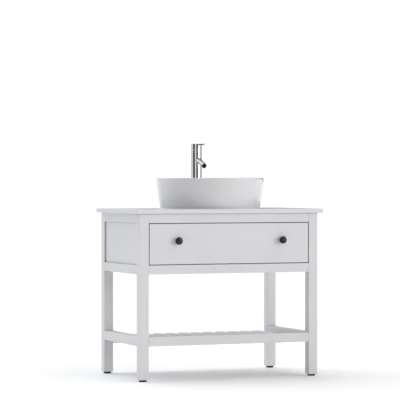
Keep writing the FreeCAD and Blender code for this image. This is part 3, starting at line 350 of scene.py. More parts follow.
def add_node(tree, kind, inputs=None, links=None, **settings):
    """Add a node with its settings, its inputs' values and the sockets that feed it."""
    added = tree.nodes.new(kind)
    for name, value in settings.items():
        setattr(added, name, value)
    for name, value in (inputs or {}).items():
        added.inputs[name].default_value = value
    for name, source in (links or {}).items():
        tree.links.new(source, added.inputs[name])
    return added


def new_finish(name, colour, **inputs):
    """A material with its shader's own values set. Gives the material, its tree and its shader."""
    material = bpy.data.materials.new(name)
    material.use_nodes = True
    tree = material.node_tree
    shader = tree.nodes["Principled BSDF"]
    shader.inputs["Base Color"].default_value = rgba(colour)
    for socket, value in inputs.items():
        shader.inputs[socket.replace("_", " ")].default_value = value
    material.diffuse_color = rgba(colour)
    return material, tree, shader


def pattern_space(tree, stretch=(1, 1, 1)):
    """Object coordinates, squeezed where a pattern runs long."""
    where = add_node(tree, "ShaderNodeTexCoord")
    return add_node(tree, "ShaderNodeMapping", inputs={"Scale": stretch},
                    links={"Vector": where.outputs["Object"]}).outputs["Vector"]


def grain_noise(tree, space, size, detail=3.0, roughness=0.5):
    """Noise whose features are about size metres across."""
    return add_node(tree, "ShaderNodeTexNoise", links={"Vector": space},
                    inputs={"Scale": 1 / size, "Detail": detail, "Roughness": roughness}).outputs["Fac"]


def graded(tree, source, low, high, start=NOISE_LOW, end=NOISE_HIGH):
    """A value that runs from low to high as the source runs from start to end."""
    return add_node(tree, "ShaderNodeMapRange", links={"Value": source}, inputs={
        "From Min": start, "From Max": end, "To Min": low, "To Max": high}).outputs["Result"]


def toned(tree, shader, source, colour, dark, light, start=NOISE_LOW, end=NOISE_HIGH):
    """Let the colour drift between two tones as the source runs from start to end."""
    ramp = add_node(tree, "ShaderNodeValToRGB", links={"Fac": source})
    ramp.color_ramp.elements[0].position = start
    ramp.color_ramp.elements[0].color = rgba(colour, dark)
    ramp.color_ramp.elements[1].position = end
    ramp.color_ramp.elements[1].color = rgba(colour, light)
    tree.links.new(ramp.outputs["Color"], shader.inputs["Base Color"])


def rubbed(tree, shader, source, smoothest, roughest, start=NOISE_LOW, end=NOISE_HIGH):
    """Let the roughness change as the source runs from start to end."""
    tree.links.new(graded(tree, source, smoothest, roughest, start, end), shader.inputs["Roughness"])


def painted_crevice_shade(tree, shader):
    """Painted shade: the paint's colour is darkened in narrow gaps and inner corners, where little light
    reaches.
    """
    gap, deepest = 7 * MM, 0.2
    # painted shade: ambient occlusion within the gap distance darkens the base colour, down to the deepest
    # share
    crevice = add_node(tree, "ShaderNodeAmbientOcclusion", inputs={"Distance": gap}, samples=8)
    crevice_shade_factor = graded(tree, crevice.outputs["AO"], deepest, 1.0, 0.15, 0.85)
    paint = shader.inputs["Base Color"].links[0].from_socket
    shaded_paint = add_node(tree, "ShaderNodeVectorMath", operation="SCALE",
                      links={"Vector": paint, "Scale": crevice_shade_factor})
    tree.links.new(shaded_paint.outputs["Vector"], shader.inputs["Base Color"])


def raised(tree, shader, source, height, under=None):
    """Bump of the given height in metres, on top of the bump under it."""
    bump = add_node(tree, "ShaderNodeBump", links={"Height": source},
                    inputs={"Strength": 1.0, "Distance": height})
    if under is not None:
        tree.links.new(under, bump.inputs["Normal"])
    tree.links.new(bump.outputs["Normal"], shader.inputs["Normal"])
    return bump.outputs["Normal"]


def painted_hardwood(name, along):
    """Satin paint sprayed on hardwood: soft sheen, with grain lines that show through as faint ridges."""
    material, tree, shader = new_finish(name, colours().paint, Roughness=0.42, IOR=1.5)
    # grain lines run along the member, 2.5 mm apart and 80 mm long
    grain_pitch, grain_length = 2.5 * MM, 80 * MM
    stretch = [1.0, 1.0, 1.0]
    stretch[along] = grain_pitch / grain_length
    grain = grain_noise(tree, pattern_space(tree, stretch), grain_pitch, detail=2.0)
    plain = pattern_space(tree)
    # the spray's orange peel is about 1.5 mm, drawn at 4 mm so that it shows
    peel = grain_noise(tree, plain, 4 * MM, detail=1.0)
    drift = grain_noise(tree, plain, 180 * MM, detail=2.0)
    under = raised(tree, shader, grain, 0.05 * MM)
    raised(tree, shader, peel, 0.03 * MM, under)
    toned(tree, shader, drift, colours().paint, 0.975, 1.01)
    # painted shade in the narrow gaps and inner corners
    painted_crevice_shade(tree, shader)
    rubbed(tree, shader, peel, 0.38, 0.47)
    return material


def painted_fibreboard():
    """Satin lacquer on fibreboard, sanded between coats: even and slightly glossier than the frame."""
    material, tree, shader = new_finish("lacquered fibreboard", colours().paint, Roughness=0.34, IOR=1.5,
                                        Coat_Weight=0.15, Coat_Roughness=0.2)
    plain = pattern_space(tree)
    # the lacquer's peel is about 2 mm, drawn at 5 mm so that it shows
    peel = grain_noise(tree, plain, 5 * MM, detail=1.0)
    cloud = grain_noise(tree, plain, 220 * MM, detail=2.0)
    raised(tree, shader, peel, 0.03 * MM)
    toned(tree, shader, cloud, colours().paint, 0.985, 1.015)
    rubbed(tree, shader, cloud, 0.31, 0.37)
    return material


def foiled_board():
    """Melamine foil pressed on chipboard: matt, with a fine pressed texture and a faint linen tone."""
    material, tree, shader = new_finish("foiled chipboard", colours().board, Roughness=0.55, IOR=1.5)
    plain = pattern_space(tree)
    # the pressed texture is about 1 mm, drawn at 2.5 mm so that it shows
    press = grain_noise(tree, plain, 2.5 * MM, detail=3.0, roughness=0.6)
    fleck = grain_noise(tree, pattern_space(tree, (1, 0.1, 1)), 6 * MM, detail=2.0)
    raised(tree, shader, press, 0.06 * MM)
    toned(tree, shader, fleck, colours().board, 0.95, 1.02)
    rubbed(tree, shader, press, 0.5, 0.62)
    return material


def glazed_china():
    """Vitreous china, slip cast, glazed and fired: a glassy coat with soft waves and a milky body."""
    material, tree, shader = new_finish("glazed vitreous china", colours().glaze, Roughness=0.07, IOR=1.52,
                                        Coat_Weight=0.6, Coat_Roughness=0.03, Coat_IOR=1.5)
    plain = pattern_space(tree)
    # the glaze lies in waves about 35 mm long; pinholes and grog show as a 3 mm speckle
    wave = grain_noise(tree, plain, 35 * MM, detail=1.0)
    speckle = grain_noise(tree, plain, 3 * MM, detail=2.0)
    pooled = grain_noise(tree, plain, 120 * MM, detail=2.0)
    under = raised(tree, shader, wave, 0.18 * MM)
    raised(tree, shader, speckle, 0.006 * MM, under)
    toned(tree, shader, pooled, colours().glaze, 0.975, 1.01)
    rubbed(tree, shader, speckle, 0.05, 0.1)
    return material


def chrome_plate():
    """Chromium plated on polished brass: a clear mirror, faintly bluish, with dried water in soft patches."""
    material, tree, shader = new_finish("chrome plated brass", colours().chrome, Metallic=1.0,
                                        Roughness=0.04)
    # polishing leaves rings round the turned parts, so shallow that mirrored edges stay straight
    rings = grain_noise(tree, pattern_space(tree, (0.05, 0.05, 1)), 1.2 * MM, detail=2.0)
    water = grain_noise(tree, pattern_space(tree), 14 * MM, detail=2.0)
    raised(tree, shader, rings, 0.0001 * MM)
    toned(tree, shader, water, colours().chrome, 0.97, 1.03)
    rubbed(tree, shader, water, 0.025, 0.06, 0.35, 0.7)
    return material


def zinc_plate():
    """Bright zinc on rolled steel: grey, with cloudy crystal patches and rolling lines."""
    material, tree, shader = new_finish("zinc plated steel", colours().zinc, Metallic=1.0, Roughness=0.34)
    # crystal patches are 6 mm; rolling lines are 0.6 mm apart, drawn at 1.5 mm so that they show
    patch = add_node(tree, "ShaderNodeTexVoronoi", links={"Vector": pattern_space(tree)},
                     inputs={"Scale": 1 / (6 * MM)}).outputs["Color"]
    lines = grain_noise(tree, pattern_space(tree, (1, 0.03, 1)), 1.5 * MM, detail=2.0)
    raised(tree, shader, lines, 0.008 * MM)
    toned(tree, shader, lines, colours().zinc, 0.86, 1.04)
    rubbed(tree, shader, patch, 0.26, 0.42, 0.0, 1.0)
    return material


def turned_brass():
    """Bare brass, turned and threaded: warm yellow with tool rings and dull tarnish."""
    material, tree, shader = new_finish("turned brass", colours().brass, Metallic=1.0, Roughness=0.3)
    # the tool's feed is 0.2 mm, drawn at 1 mm so that it shows
    rings = grain_noise(tree, pattern_space(tree, (0.05, 0.05, 1)), 1.0 * MM, detail=2.0)
    tarnish = grain_noise(tree, pattern_space(tree), 9 * MM, detail=4.0)
    raised(tree, shader, rings, 0.01 * MM)
    toned(tree, shader, tarnish, colours().brass, 0.7, 1.02)
    rubbed(tree, shader, tarnish, 0.42, 0.24)
    return material


def moulded_plastic(name, colour, roughness, texture, tone):
    """Injection moulded plastic: an even colour with a spark-eroded mould texture and a slight flow tone."""
    material, tree, shader = new_finish(name, colour, Roughness=roughness, IOR=1.49)
    # the mould's grit is 0.2 mm, drawn coarser so that it shows
    grit = grain_noise(tree, pattern_space(tree), texture, detail=3.0, roughness=0.6)
    flow = grain_noise(tree, pattern_space(tree, (1, 1, 0.4)), 30 * MM, detail=2.0)
    raised(tree, shader, grit, 0.02 * MM)
    toned(tree, shader, flow, colour, 1 - tone, 1 + tone)
    rubbed(tree, shader, grit, roughness - 0.05, roughness + 0.07)
    return material


def powder_coat():
    """Black powder coat baked on cast zinc: satin, with fine orange peel and rubbed lighter spots."""
    material, tree, shader = new_finish("black powder coat", colours().knob, Roughness=0.34, IOR=1.45)
    plain = pattern_space(tree)
    # the coat's peel is 0.6 mm, drawn at 1 mm so that it shows
    peel = grain_noise(tree, plain, 1.0 * MM, detail=2.0)
    rub = grain_noise(tree, plain, 11 * MM, detail=3.0)
    raised(tree, shader, peel, 0.025 * MM)
    toned(tree, shader, rub, colours().knob, 0.8, 1.5)
    rubbed(tree, shader, rub, 0.32, 0.46)
    return material


def cured_silicone():
    """Neutral-cure silicone, tooled wet: soft sheen, slightly see-through, with tool ripples."""
    material, tree, shader = new_finish("cured silicone", colours().seal, Roughness=0.38, IOR=1.41,
                                        Subsurface_Weight=0.2, Subsurface_Scale=2 * MM)
    # the tooling finger leaves ripples about 5 mm long
    ripple = grain_noise(tree, pattern_space(tree), 5 * MM, detail=2.0)
    raised(tree, shader, ripple, 0.08 * MM)
    toned(tree, shader, ripple, colours().seal, 0.94, 1.0)
    rubbed(tree, shader, ripple, 0.32, 0.44)
    return material


# each finish's material, made when the script runs
FINISHES = {}


def make_finishes():
    """Make every finish once, under the name that the pieces ask for."""
    FINISHES.update({
        "upright": painted_hardwood("sprayed hardwood upright", 2),
        "crosswise": painted_hardwood("sprayed hardwood crosswise", 0),
        "deepwise": painted_hardwood("sprayed hardwood front to back", 1),
        "top": painted_fibreboard(),
        "board": foiled_board(),
        "china": glazed_china(),
        "chrome": chrome_plate(),
        "zinc": zinc_plate(),
        "brass": turned_brass(),
        "pipe": moulded_plastic("moulded polypropylene", colours().pipe, 0.4, 1.5 * MM, 0.02),
        "foot": moulded_plastic("moulded black nylon", colours().foot, 0.5, 0.8 * MM, 0.2),
        "knob": powder_coat(),
        "silicone": cured_silicone(),
    })
    # the aerator's screen is the feet's plastic
    FINISHES["screen"] = FINISHES["foot"]


def give_finish(nodes, finish):
    """Set one finish on CAD nodes that keep their own shape."""
    for name in nodes:
        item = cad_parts[name]
        for place in item.material_slots:
            place.material = FINISHES[finish]
        if not item.material_slots:
            item.data.materials.append(FINISHES[finish])


# ---- pieces ------------------------------------------------------------------------------

class WASHSTAND_OT_carcass(bpy.types.Operator):
    """Paint the frame, panels, shelf, drawer front and countertop"""
    bl_idname = "washstand.carcass"
    bl_label = "Painted carcass"

    def execute(self, context):
        give_finish(UPRIGHT, "upright")
        give_finish(CROSSWISE, "crosswise")
        give_finish(DEEPWISE, "deepwise")
        give_finish(["countertop"], "top")
        return {"FINISHED"}


class WASHSTAND_OT_fittings(bpy.types.Operator):
    """Finish the drawer's boards, the runners, brackets, screws and sleeves"""
    bl_idname = "washstand.fittings"
    bl_label = "Drawer boards and fittings"

    def execute(self, context):
        give_finish(DRAWER_BOARDS, "board")
        give_finish(ZINC_PARTS, "zinc")
        give_finish(BRASS_PARTS, "brass")
        return {"FINISHED"}


class WASHSTAND_OT_knobs(bpy.types.Operator):
    """Turn the two drawer knobs: a flared foot, a slim neck and a domed head"""
    bl_idname = "washstand.knobs"
    bl_label = "Drawer knobs"

    def execute(self, context):
        for side in SIDES:
            node = f"drawer_knob_{side}"
            low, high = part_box(node)
            shape = turned(self.profile(half_width(node), high.y - low.y))
            face = Vector((middle(node).x, high.y, middle(node).z))
            moved(shape, face, Matrix.Rotation(math.pi / 2, 4, "X"))
            piece(shape, f"knob_{side}", "knob", "drawer", node)
        return {"FINISHED"}

    def profile(self, head, length):
        """From the drawer front out to the middle of the dome."""
        foot, neck = sizes().knob_foot, sizes().knob_neck
        foot_thick, neck_start = 1.6 * MM, 4 * MM
        flare_start, flare_end, dome_start = length * 0.4, length * 0.62, length * 0.7
        flare = [(neck + (head - neck) * share ** 3, flare_start + (flare_end - flare_start) * share, 0)
                 for share in (step / 8 for step in range(9))]
        return [(0, 0, 0), (foot, 0, 0), (foot, foot_thick, 0.7 * MM), (neck, neck_start, 1.5 * MM),
                *flare, *arc(0, dome_start, head, 0, 90, steps=10, rise=length - dome_start)]


class WASHSTAND_OT_feet(bpy.types.Operator):
    """Mould the four levelling feet: a gripped disc and a threaded stem"""
    bl_idname = "washstand.feet"
    bl_label = "Levelling feet"

    def execute(self, context):
        for corner in FEET:
            node = f"levelling_foot_{corner}"
            low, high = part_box(node)
            shape = joined(self.disc(half_width(node)), self.stem(high.z))
            moved(shape, axis_at(node, low.z))
            piece(shape, f"foot_{corner}", "foot", f"foot_{corner}", node)
        return {"FINISHED"}

    def disc(self, radius):
        """A disc with a soft edge, whose side has finger grips pressed in."""
        height, grips, depth = 7.7 * MM, 12, 0.7 * MM
        shape = turned([(0, 0, 0), (radius - 2 * MM, 0, 0), (radius, 1.5 * MM, 0.6 * MM),
                        (radius, height - 1 * MM, 0.8 * MM), (radius - 2.5 * MM, height, 0.5 * MM),
                        (0, height, 0)])
        return gripped(shape, radius, lambda corner: corner.xy.length > radius - 1.5 * MM,
                       lambda angle: depth * max(0.0, math.cos(grips * angle)) ** 2)

    def stem(self, top):
        """A threaded stem from inside the disc to the top."""
        radius, pitch, start, chamfer = 3.9 * MM, 1.25 * MM, 6 * MM, 1 * MM
        return turned([(0, top, 0), (radius - chamfer, top, 0),
                       *threaded(radius, start, top - chamfer, pitch),
                       (radius - chamfer, start, 0), (0, start, 0)], steps=32)


class WASHSTAND_OT_basin(bpy.types.Operator):
    """Cast the basin: a round bulging wall, a soft rim, a tap deck and a bowl cut straight behind"""
    bl_idname = "washstand.basin"
    bl_label = "Basin"

    STEPS = 192
    WALL_STEPS = 14
    BOWL_STEPS = 8
    # the power that rounds the bowl's two back corners; a higher one makes them sharper
    SOFTNESS = 16
    # from the countertop up to the basin's underside, inside its foot ring
    UNDERSIDE = 5 * MM

    def execute(self, context):
        low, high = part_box("basin")
        self.centre = axis_at("basin", low.z)
        self.rim = half_width("basin")
        self.height = high.z - low.z
        self.base = max((v.co.xy - self.centre.xy).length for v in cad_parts["basin"].data.vertices
                        if v.co.z < low.z + MERGE)
        item = piece(self.shell(), "vessel_basin", "china", "root", "basin")
        carve(item, self.service_hollow())
        carve(item, self.tap_hole())
        self.bead()
        return {"FINISHED"}

    def inset(self, height):
        """How far the bowl's wall has come in at this height."""
        return (self.rim - self.base) * (self.height - height) / self.height

    def reach(self, angle, radius, edge):
        """A circle's radius at this angle, cut straight at y = edge with soft corners."""
        rise = math.sin(angle) * radius / edge if edge else 0
        return radius if rise <= 0 else radius * (1 + rise ** self.SOFTNESS) ** (-1 / self.SOFTNESS)

    def stations(self):
        """Rings from under the foot, up the wall, over the rim and down the bowl: radius, height, cut."""
        size = sizes()
        soft, lift = size.rim_round, 1.5 * MM
        heel = self.base - size.foot_width
        rings = [(heel, self.UNDERSIDE, 0), (heel, 0, 0), (self.base - 1.2 * MM, 0, 0),
                 (self.base - 0.3 * MM, 0.4 * MM, 0), (self.base, lift, 0)]
        for step in range(1, self.WALL_STEPS + 1):
            share = step / self.WALL_STEPS
            bulge = size.wall_bulge * 4 * share * (1 - share)
            rings.append((self.base + (self.rim - self.base) * share + bulge,
                          lift + (self.height - lift - soft) * share, 0))
        mouth = self.rim - size.rim_flat
        rings += arc(self.rim - soft, self.height - soft, soft, 0, 90)
        rings += arc(mouth + soft, self.height - soft, soft, 90, 180)
        deck = self.height - size.deck_drop
        rings.append((mouth - self.inset(deck) / 2, deck + 0.6 * MM, 0))
        rings.append((mouth - self.inset(deck), deck, 0))
        return rings + self.bowl(mouth, deck)

    def bowl(self, mouth, deck):
        """The deck's rounded front edge, the bowl's wall, the blend, the floor and the drain."""
        size = sizes()
        turn, blend, floor = size.deck_round, size.bowl_blend, size.bowl_floor
        rings = [(mouth - self.inset(height), height, cut)
                 for cut, height, _ in arc(size.deck_edge + turn, deck - turn, turn, 90, 180)]
        for step in range(1, self.BOWL_STEPS + 1):
            height = deck - turn + (floor + blend - deck + turn) * step / self.BOWL_STEPS
            rings.append((mouth - self.inset(height), height, size.deck_edge - self.inset(height)))
        foot_inset = self.inset(floor + blend)
        for inward, height, _ in arc(foot_inset + blend, floor + blend, blend, 180, 270, self.BOWL_STEPS)[1:]:
            rings.append((mouth - inward, height, size.deck_edge - inward))
        edge = size.deck_edge - foot_inset - blend
        fall, dish, chamfer = 1.2 * MM, 14 * MM, 0.8 * MM
        for share in (0.8, 0.6, 0.4, 0.25):
            rings.append((mouth * share, floor - fall * (1 - share), edge))
        drain = size.drain_radius
        return rings + [(drain + dish, floor - fall, 0), (drain + chamfer, floor - fall, 0),
                        (drain, floor - fall - chamfer, 0), (drain, self.UNDERSIDE, 0)]

    def shell(self):
        """Grow the shell ring by ring from the foot and close it on itself."""
        shape = bmesh.new()
        rings = self.stations()
        bmesh.ops.create_circle(shape, cap_ends=False, segments=self.STEPS, radius=1)
        first = edges = shape.edges[:]
        self.set_ring(shape.verts[:], *rings[0])
        for ring in rings[1:]:
            grown = bmesh.ops.extrude_edge_only(shape, edges=edges)["geom"]
            fresh = {item for item in grown if isinstance(item, bmesh.types.BMVert)}
            edges = [item for item in grown if isinstance(item, bmesh.types.BMEdge)
                     and item.verts[0] in fresh and item.verts[1] in fresh]
            self.set_ring(fresh, *ring)
        bmesh.ops.bridge_loops(shape, edges=first + edges)
        return moved(shape, self.centre)

    def set_ring(self, verts, radius, height, edge):
        """Put a ring's corners at their height, on a circle or on a circle with a straight cut."""
        for vert in verts:
            angle = math.atan2(vert.co.y, vert.co.x)
            reach = self.reach(angle, radius, edge)
            vert.co = (reach * math.cos(angle), reach * math.sin(angle), height)

    def service_hollow(self):
        """The space behind the bowl and under the deck, open below."""
        size = sizes()
        below = 10 * MM
        shape = bmesh.new()
        bmesh.ops.create_circle(shape, cap_ends=True, segments=self.STEPS, radius=self.base - size.foot_width)
        chord = size.deck_edge + size.ceramic_wall
        bmesh.ops.bisect_plane(shape, geom=shape.verts[:] + shape.edges[:] + shape.faces[:], dist=MERGE,
                               plane_co=(0, chord, 0), plane_no=(0, -1, 0), clear_outer=True)
        top = self.height - size.deck_drop - size.ceramic_wall
        lid = bmesh.ops.extrude_face_region(shape, geom=shape.faces[:])["geom"]
        bmesh.ops.translate(shape, vec=(0, 0, top + below),
                            verts=[item for item in lid if isinstance(item, bmesh.types.BMVert)])
        return moved(shape, self.centre - Vector((0, 0, below)))

    def tap_hole(self):
        """The round hole through the deck, on the tap's axis."""
        radius, depth = sizes().tap_hole_radius, 30 * MM
        bottom = self.centre.z + self.height - sizes().deck_drop - 2 * sizes().ceramic_wall
        shape = turned([(0, 0, 0), (radius, 0, 0), (radius, depth, 0), (0, depth, 0)], steps=48)
        return moved(shape, axis_at("tap_collar", bottom))

    def bead(self):
        """The silicone fillet between the basin's foot and the countertop."""
        inner, fillet, film = self.base - 8 * MM, 2.2 * MM, 0.25 * MM
        outer = self.base + fillet
        shape = turned([(inner, 0, 0), (outer, 0, 0), (outer, film, 0),
                        *arc(outer, fillet + film, fillet, 270, 180)[1:], (inner, 1 * MM, 0)],
                       closed=True, steps=self.STEPS)
        moved(shape, axis_at("basin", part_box("basin_seal")[0].z))
        piece(shape, "silicone_bead", "silicone", "root", "basin_seal")


class WASHSTAND_OT_tap_column(bpy.types.Operator):
    """Turn the tap's gasket, column, collar and threaded shank"""
    bl_idname = "washstand.tap_column"
    bl_label = "Tap column"

    def execute(self, context):
        self.axis = axis_at("tap_collar")
        self.radius = half_width("tap_collar")
        self.bottom, self.top = (corner.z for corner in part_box("tap_body"))
        self.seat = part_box("tap_base_ring")[1].z
        self.gasket()
        self.column()
        self.shank()
        self.collar()
        smoothed_copy("tap_shank_nut", "shank_nut", "brass", "root")
        smoothed_copy("tap_cartridge", "cartridge", "pipe", "root")
        return {"FINISHED"}

    def gasket(self):
        """The ring that seals the column to the basin's deck."""
        bore, outside, low = 15.5 * MM, self.radius + 1.2 * MM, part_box("tap_base_ring")[0].z
        shape = turned([(bore, low, 0), (outside, low, 0.4 * MM), (outside, self.seat, 1 * MM),
                        (bore, self.seat, 0)], closed=True)
        piece(moved(shape, self.axis), "tap_gasket_ring", "silicone", "root", "tap_base_ring")

    def column(self):
        """The plain column above the deck."""
        shape = turned([(0, self.seat, 0), (self.radius, self.seat, 0.6 * MM),
                        (self.radius, self.top, 0.5 * MM), (self.radius - 1.2 * MM, self.top, 0),
                        (0, self.top, 0)])
        piece(moved(shape, self.axis), "tap_column", "chrome", "root", "tap_body")

    def shank(self):
        """The threaded shank through the deck, bored from below."""
        radius, pitch, chamfer, bore, bore_depth = 15 * MM, 2 * MM, 1.2 * MM, 11 * MM, 3 * MM
        shape = turned([(0, self.seat, 0), (radius - chamfer, self.seat, 0),
                        *threaded(radius, self.bottom + pitch, self.seat, pitch),
                        (radius - chamfer, self.bottom, 0), (bore, self.bottom, 0.3 * MM),
                        (bore, self.bottom + bore_depth, 0), (0, self.bottom + bore_depth, 0)], steps=64)
        piece(moved(shape, self.axis), "tap_shank", "brass", "root")

    def collar(self):
        """The collar that the cap turns on, with a shadow groove under it."""
        low, high = (corner.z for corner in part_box("tap_collar"))
        groove = 0.8 * MM
        shape = turned([(0, low, 0), (self.radius - groove, low, 0), (self.radius - groove, low + groove, 0),
                        (self.radius, low + groove, 0.3 * MM), (self.radius, high, 0.6 * MM),
                        (self.radius - 1.5 * MM, high, 0), (0, high, 0)])
        piece(moved(shape, self.axis), "tap_collar_ring", "chrome", "root", "tap_collar")


class WASHSTAND_OT_tap_spout(bpy.types.Operator):
    """Draw the spout: a short tube that falls forwards, with an aerator in its end"""
    bl_idname = "washstand.tap_spout"
    bl_label = "Tap spout"

    def execute(self, context):
        slope, length, radius = sizes().spout_slope, sizes().spout_length, sizes().spout_radius
        bore = radius - sizes().spout_wall
        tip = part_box("tap_spout")[0].z
        start = Vector((middle("tap_spout").x, middle("tap_collar").y,
                        tip + length * math.sin(slope) + radius * math.cos(slope)))
        turn = Matrix.Rotation(math.pi / 2 + slope, 4, "X")
        tube = turned([(bore, 0, 0), (radius, 0, 0), (radius, length, 0.6 * MM), (bore, length, 0.6 * MM)],
                      closed=True, steps=72)
        piece(moved(tube, start, turn), "spout_tube", "chrome", "root", "tap_spout")
        piece(moved(self.aerator(bore, length), start, turn), "aerator_screen", "screen", "root",
              "tap_aerator")
        return {"FINISHED"}

    def aerator(self, bore, length):
        """A ring with a screen of small honeycomb cells, set back in the spout's end."""
        seat, face = length - 11 * MM, length - 2 * MM
        outer, inner = bore - 0.1 * MM, bore - 1.4 * MM
        shell = turned([(inner, seat, 0), (outer, seat, 0), (outer, face, 0.3 * MM),
                        (inner, face, 0.3 * MM)], closed=True, steps=48)
        pitch, rows, margin = 2.6 * MM, 3, 1.2 * MM
        cell_bore, cell_outside, cell_top = 1.05 * MM, 1.5 * MM, face - 0.8 * MM
        cells = []
        for row in range(-rows, rows + 1):
            for column in range(-rows, rows + 1):
                across = (column + row / 2) * pitch
                along = row * pitch * math.sqrt(3) / 2
                if math.hypot(across, along) < inner - margin:
                    cell = turned([(cell_bore, seat, 0), (cell_outside, seat, 0),
                                   (cell_outside, cell_top, 0), (cell_bore, cell_top, 0)],
                                  closed=True, steps=6)
                    sixth = Matrix.Rotation(math.pi / 6, 4, "Z")
                    cells.append(moved(cell, Vector((across, along, 0)), sixth))
        return joined(shell, *cells)


class WASHSTAND_OT_tap_handle(bpy.types.Operator):
    """Shape the tap's cap with its slot, and the lever that lifts in it"""
    bl_idname = "washstand.tap_handle"
    bl_label = "Tap cap and lever"

    def execute(self, context):
        self.cap(*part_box("tap_cap"), *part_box("tap_lever"))
        self.lever(*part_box("tap_lever"))
        return {"FINISHED"}

    def cap(self, low, high, lever_low, lever_high):
        """A plain turned cap, slotted through its front and top for the lever."""
        radius, chamfer = half_width("tap_cap"), 1 * MM
        shape = turned([(0, low.z, 0), (radius - chamfer, low.z, 0), (radius, low.z + chamfer, 0.4 * MM),
                        (radius, high.z, 0), (0, high.z, 0)])
        moved(shape, axis_at("tap_cap"))
        item = piece(shape, "lever_cap", "chrome", "tap_handle", "tap_cap")
        beside, under, behind, past = 0.4 * MM, 1.6 * MM, 0.88 * MM, 5 * MM
        carve(item, block((lever_low.x - beside, low.y - past, lever_low.z - under),
                          (lever_high.x + beside, lever_high.y + behind, high.z + past)))
        # the edges are rounded before the flat faces are shaded, or the slot shades dark
        item.modifiers.remove(item.modifiers["Flat faces"])
        edge = item.modifiers.new("Soft edges", "BEVEL")
        edge.width, edge.segments, edge.limit_method, edge.angle_limit = 0.5 * MM, 3, "ANGLE", CREASE
        smooth(item)

    def lever(self, low, high):
        """A flat blade, round about its pin and rounder towards its tip."""
        shape = block(low, high)
        rounded(shape, (high.z - low.z) * 0.49,
                lambda edge: all(v.co.y > high.y - MERGE for v in edge.verts)
                and abs(edge.verts[0].co.z - edge.verts[1].co.z) < MERGE, segments=10)
        rounded(shape, (high.x - low.x) * 0.42,
                lambda edge: all(v.co.y < low.y + MERGE for v in edge.verts)
                and abs(edge.verts[0].co.x - edge.verts[1].co.x) < MERGE, segments=8)
        rounded(shape, 1.1 * MM)
        piece(shape, "lever_blade", "chrome", "tap_lever", "tap_lever")


class WASHSTAND_OT_waste(bpy.types.Operator):
    """Turn the drain's flange, its push plug and the nut under the countertop"""
    bl_idname = "washstand.waste"
    bl_label = "Drain and plug"

    TAIL = 19 * MM

    def execute(self, context):
        self.flange()
        self.plug()
        self.nut()
        return {"FINISHED"}

    def flange(self):
        """The polished flange in the bowl and its threaded tail, with the bush that guides the plug."""
        low, high = (corner.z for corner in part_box("waste_flange"))
        radius, bore, pitch, lip = half_width("waste_flange"), 16 * MM, 2 * MM, 3 * MM
        under = high - 2.5 * MM
        tail = turned([(bore, high - 1.6 * MM, 0), (bore + lip, high, 1 * MM), (radius - lip, high, 2 * MM),
                       (radius, under + 0.5 * MM, 0.4 * MM), (radius, under, 0),
                       (self.TAIL - 0.6 * MM, under, 0),
                       *threaded(self.TAIL, low + pitch, under - 3 * MM, pitch),
                       (self.TAIL - 1 * MM, low, 0), (bore, low, 0)], closed=True)
        guide, bush_radius = 4.1 * MM, 8 * MM
        bush_top, bush_bottom = under - 20 * MM, under - 32 * MM
        bush = turned([(guide, bush_bottom, 0), (bush_radius, bush_bottom, 0.4 * MM),
                       (bush_radius, bush_top, 0.4 * MM), (guide, bush_top, 0)], closed=True, steps=32)
        sunk, half_arm = 1.5 * MM, 1.5 * MM
        arms = [block((sign * (bush_radius - sunk), -half_arm, bush_bottom),
                      (sign * (bore + 1 * MM), half_arm, bush_top)) for sign in (-1, 1)]
        shape = moved(joined(tail, bush, *arms), axis_at("waste_flange"))
        piece(shape, "drain_flange", "chrome", "root", "waste_flange")

    def plug(self):
        """The plug's low dome and its stem."""
        low, high = (corner.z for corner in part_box("waste_plug"))
        radius, stem = half_width("waste_plug"), 4 * MM
        under, rim, dome = high - 4 * MM, high - 3 * MM, 1.8 * MM
        shape = turned([(0, low, 0), (stem, low, 0.6 * MM), (stem, under, 0), (radius - 1 * MM, under, 0),
                        (radius, rim, 0.3 * MM),
                        *arc(0, high - dome, radius * 0.96, 10, 90, steps=10, rise=dome)])
        moved(shape, axis_at("waste_plug"))
        piece(shape, "push_plug", "chrome", "waste_plug", "waste_plug")

    def nut(self):
        """The flanged nut with its grip ribs."""
        low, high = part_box("waste_nut")
        shape = ribbed_nut(half_width("waste_nut"), self.TAIL, self.TAIL, high.z - low.z, ribs=8)
        moved(shape, axis_at("waste_nut", low.z))
        piece(shape, "drain_nut", "pipe", "root", "waste_nut")


def ribbed_nut(radius, start_bore, end_bore, height, ribs):
    """A plastic nut with grip ribs round its side, from 0 up to its height."""
    rib, lip = 1.4 * MM, height * 0.2
    flange = radius - rib * 0.4
    shape = turned([(start_bore, 0, 0), (flange, 0, 0.6 * MM), (flange, lip, 0), (radius, lip + 0.6 * MM, 0),
                    (radius, height - 0.8 * MM, 0), (radius - rib, height, 0.4 * MM),
                    (end_bore, height, 0)], closed=True, steps=ribs * 8)
    return gripped(shape, radius, lambda corner: corner.xy.length > radius - rib * 0.2 and corner.z > lip,
                   lambda angle: rib if math.cos(ribs * angle) < 0.3 else 0)


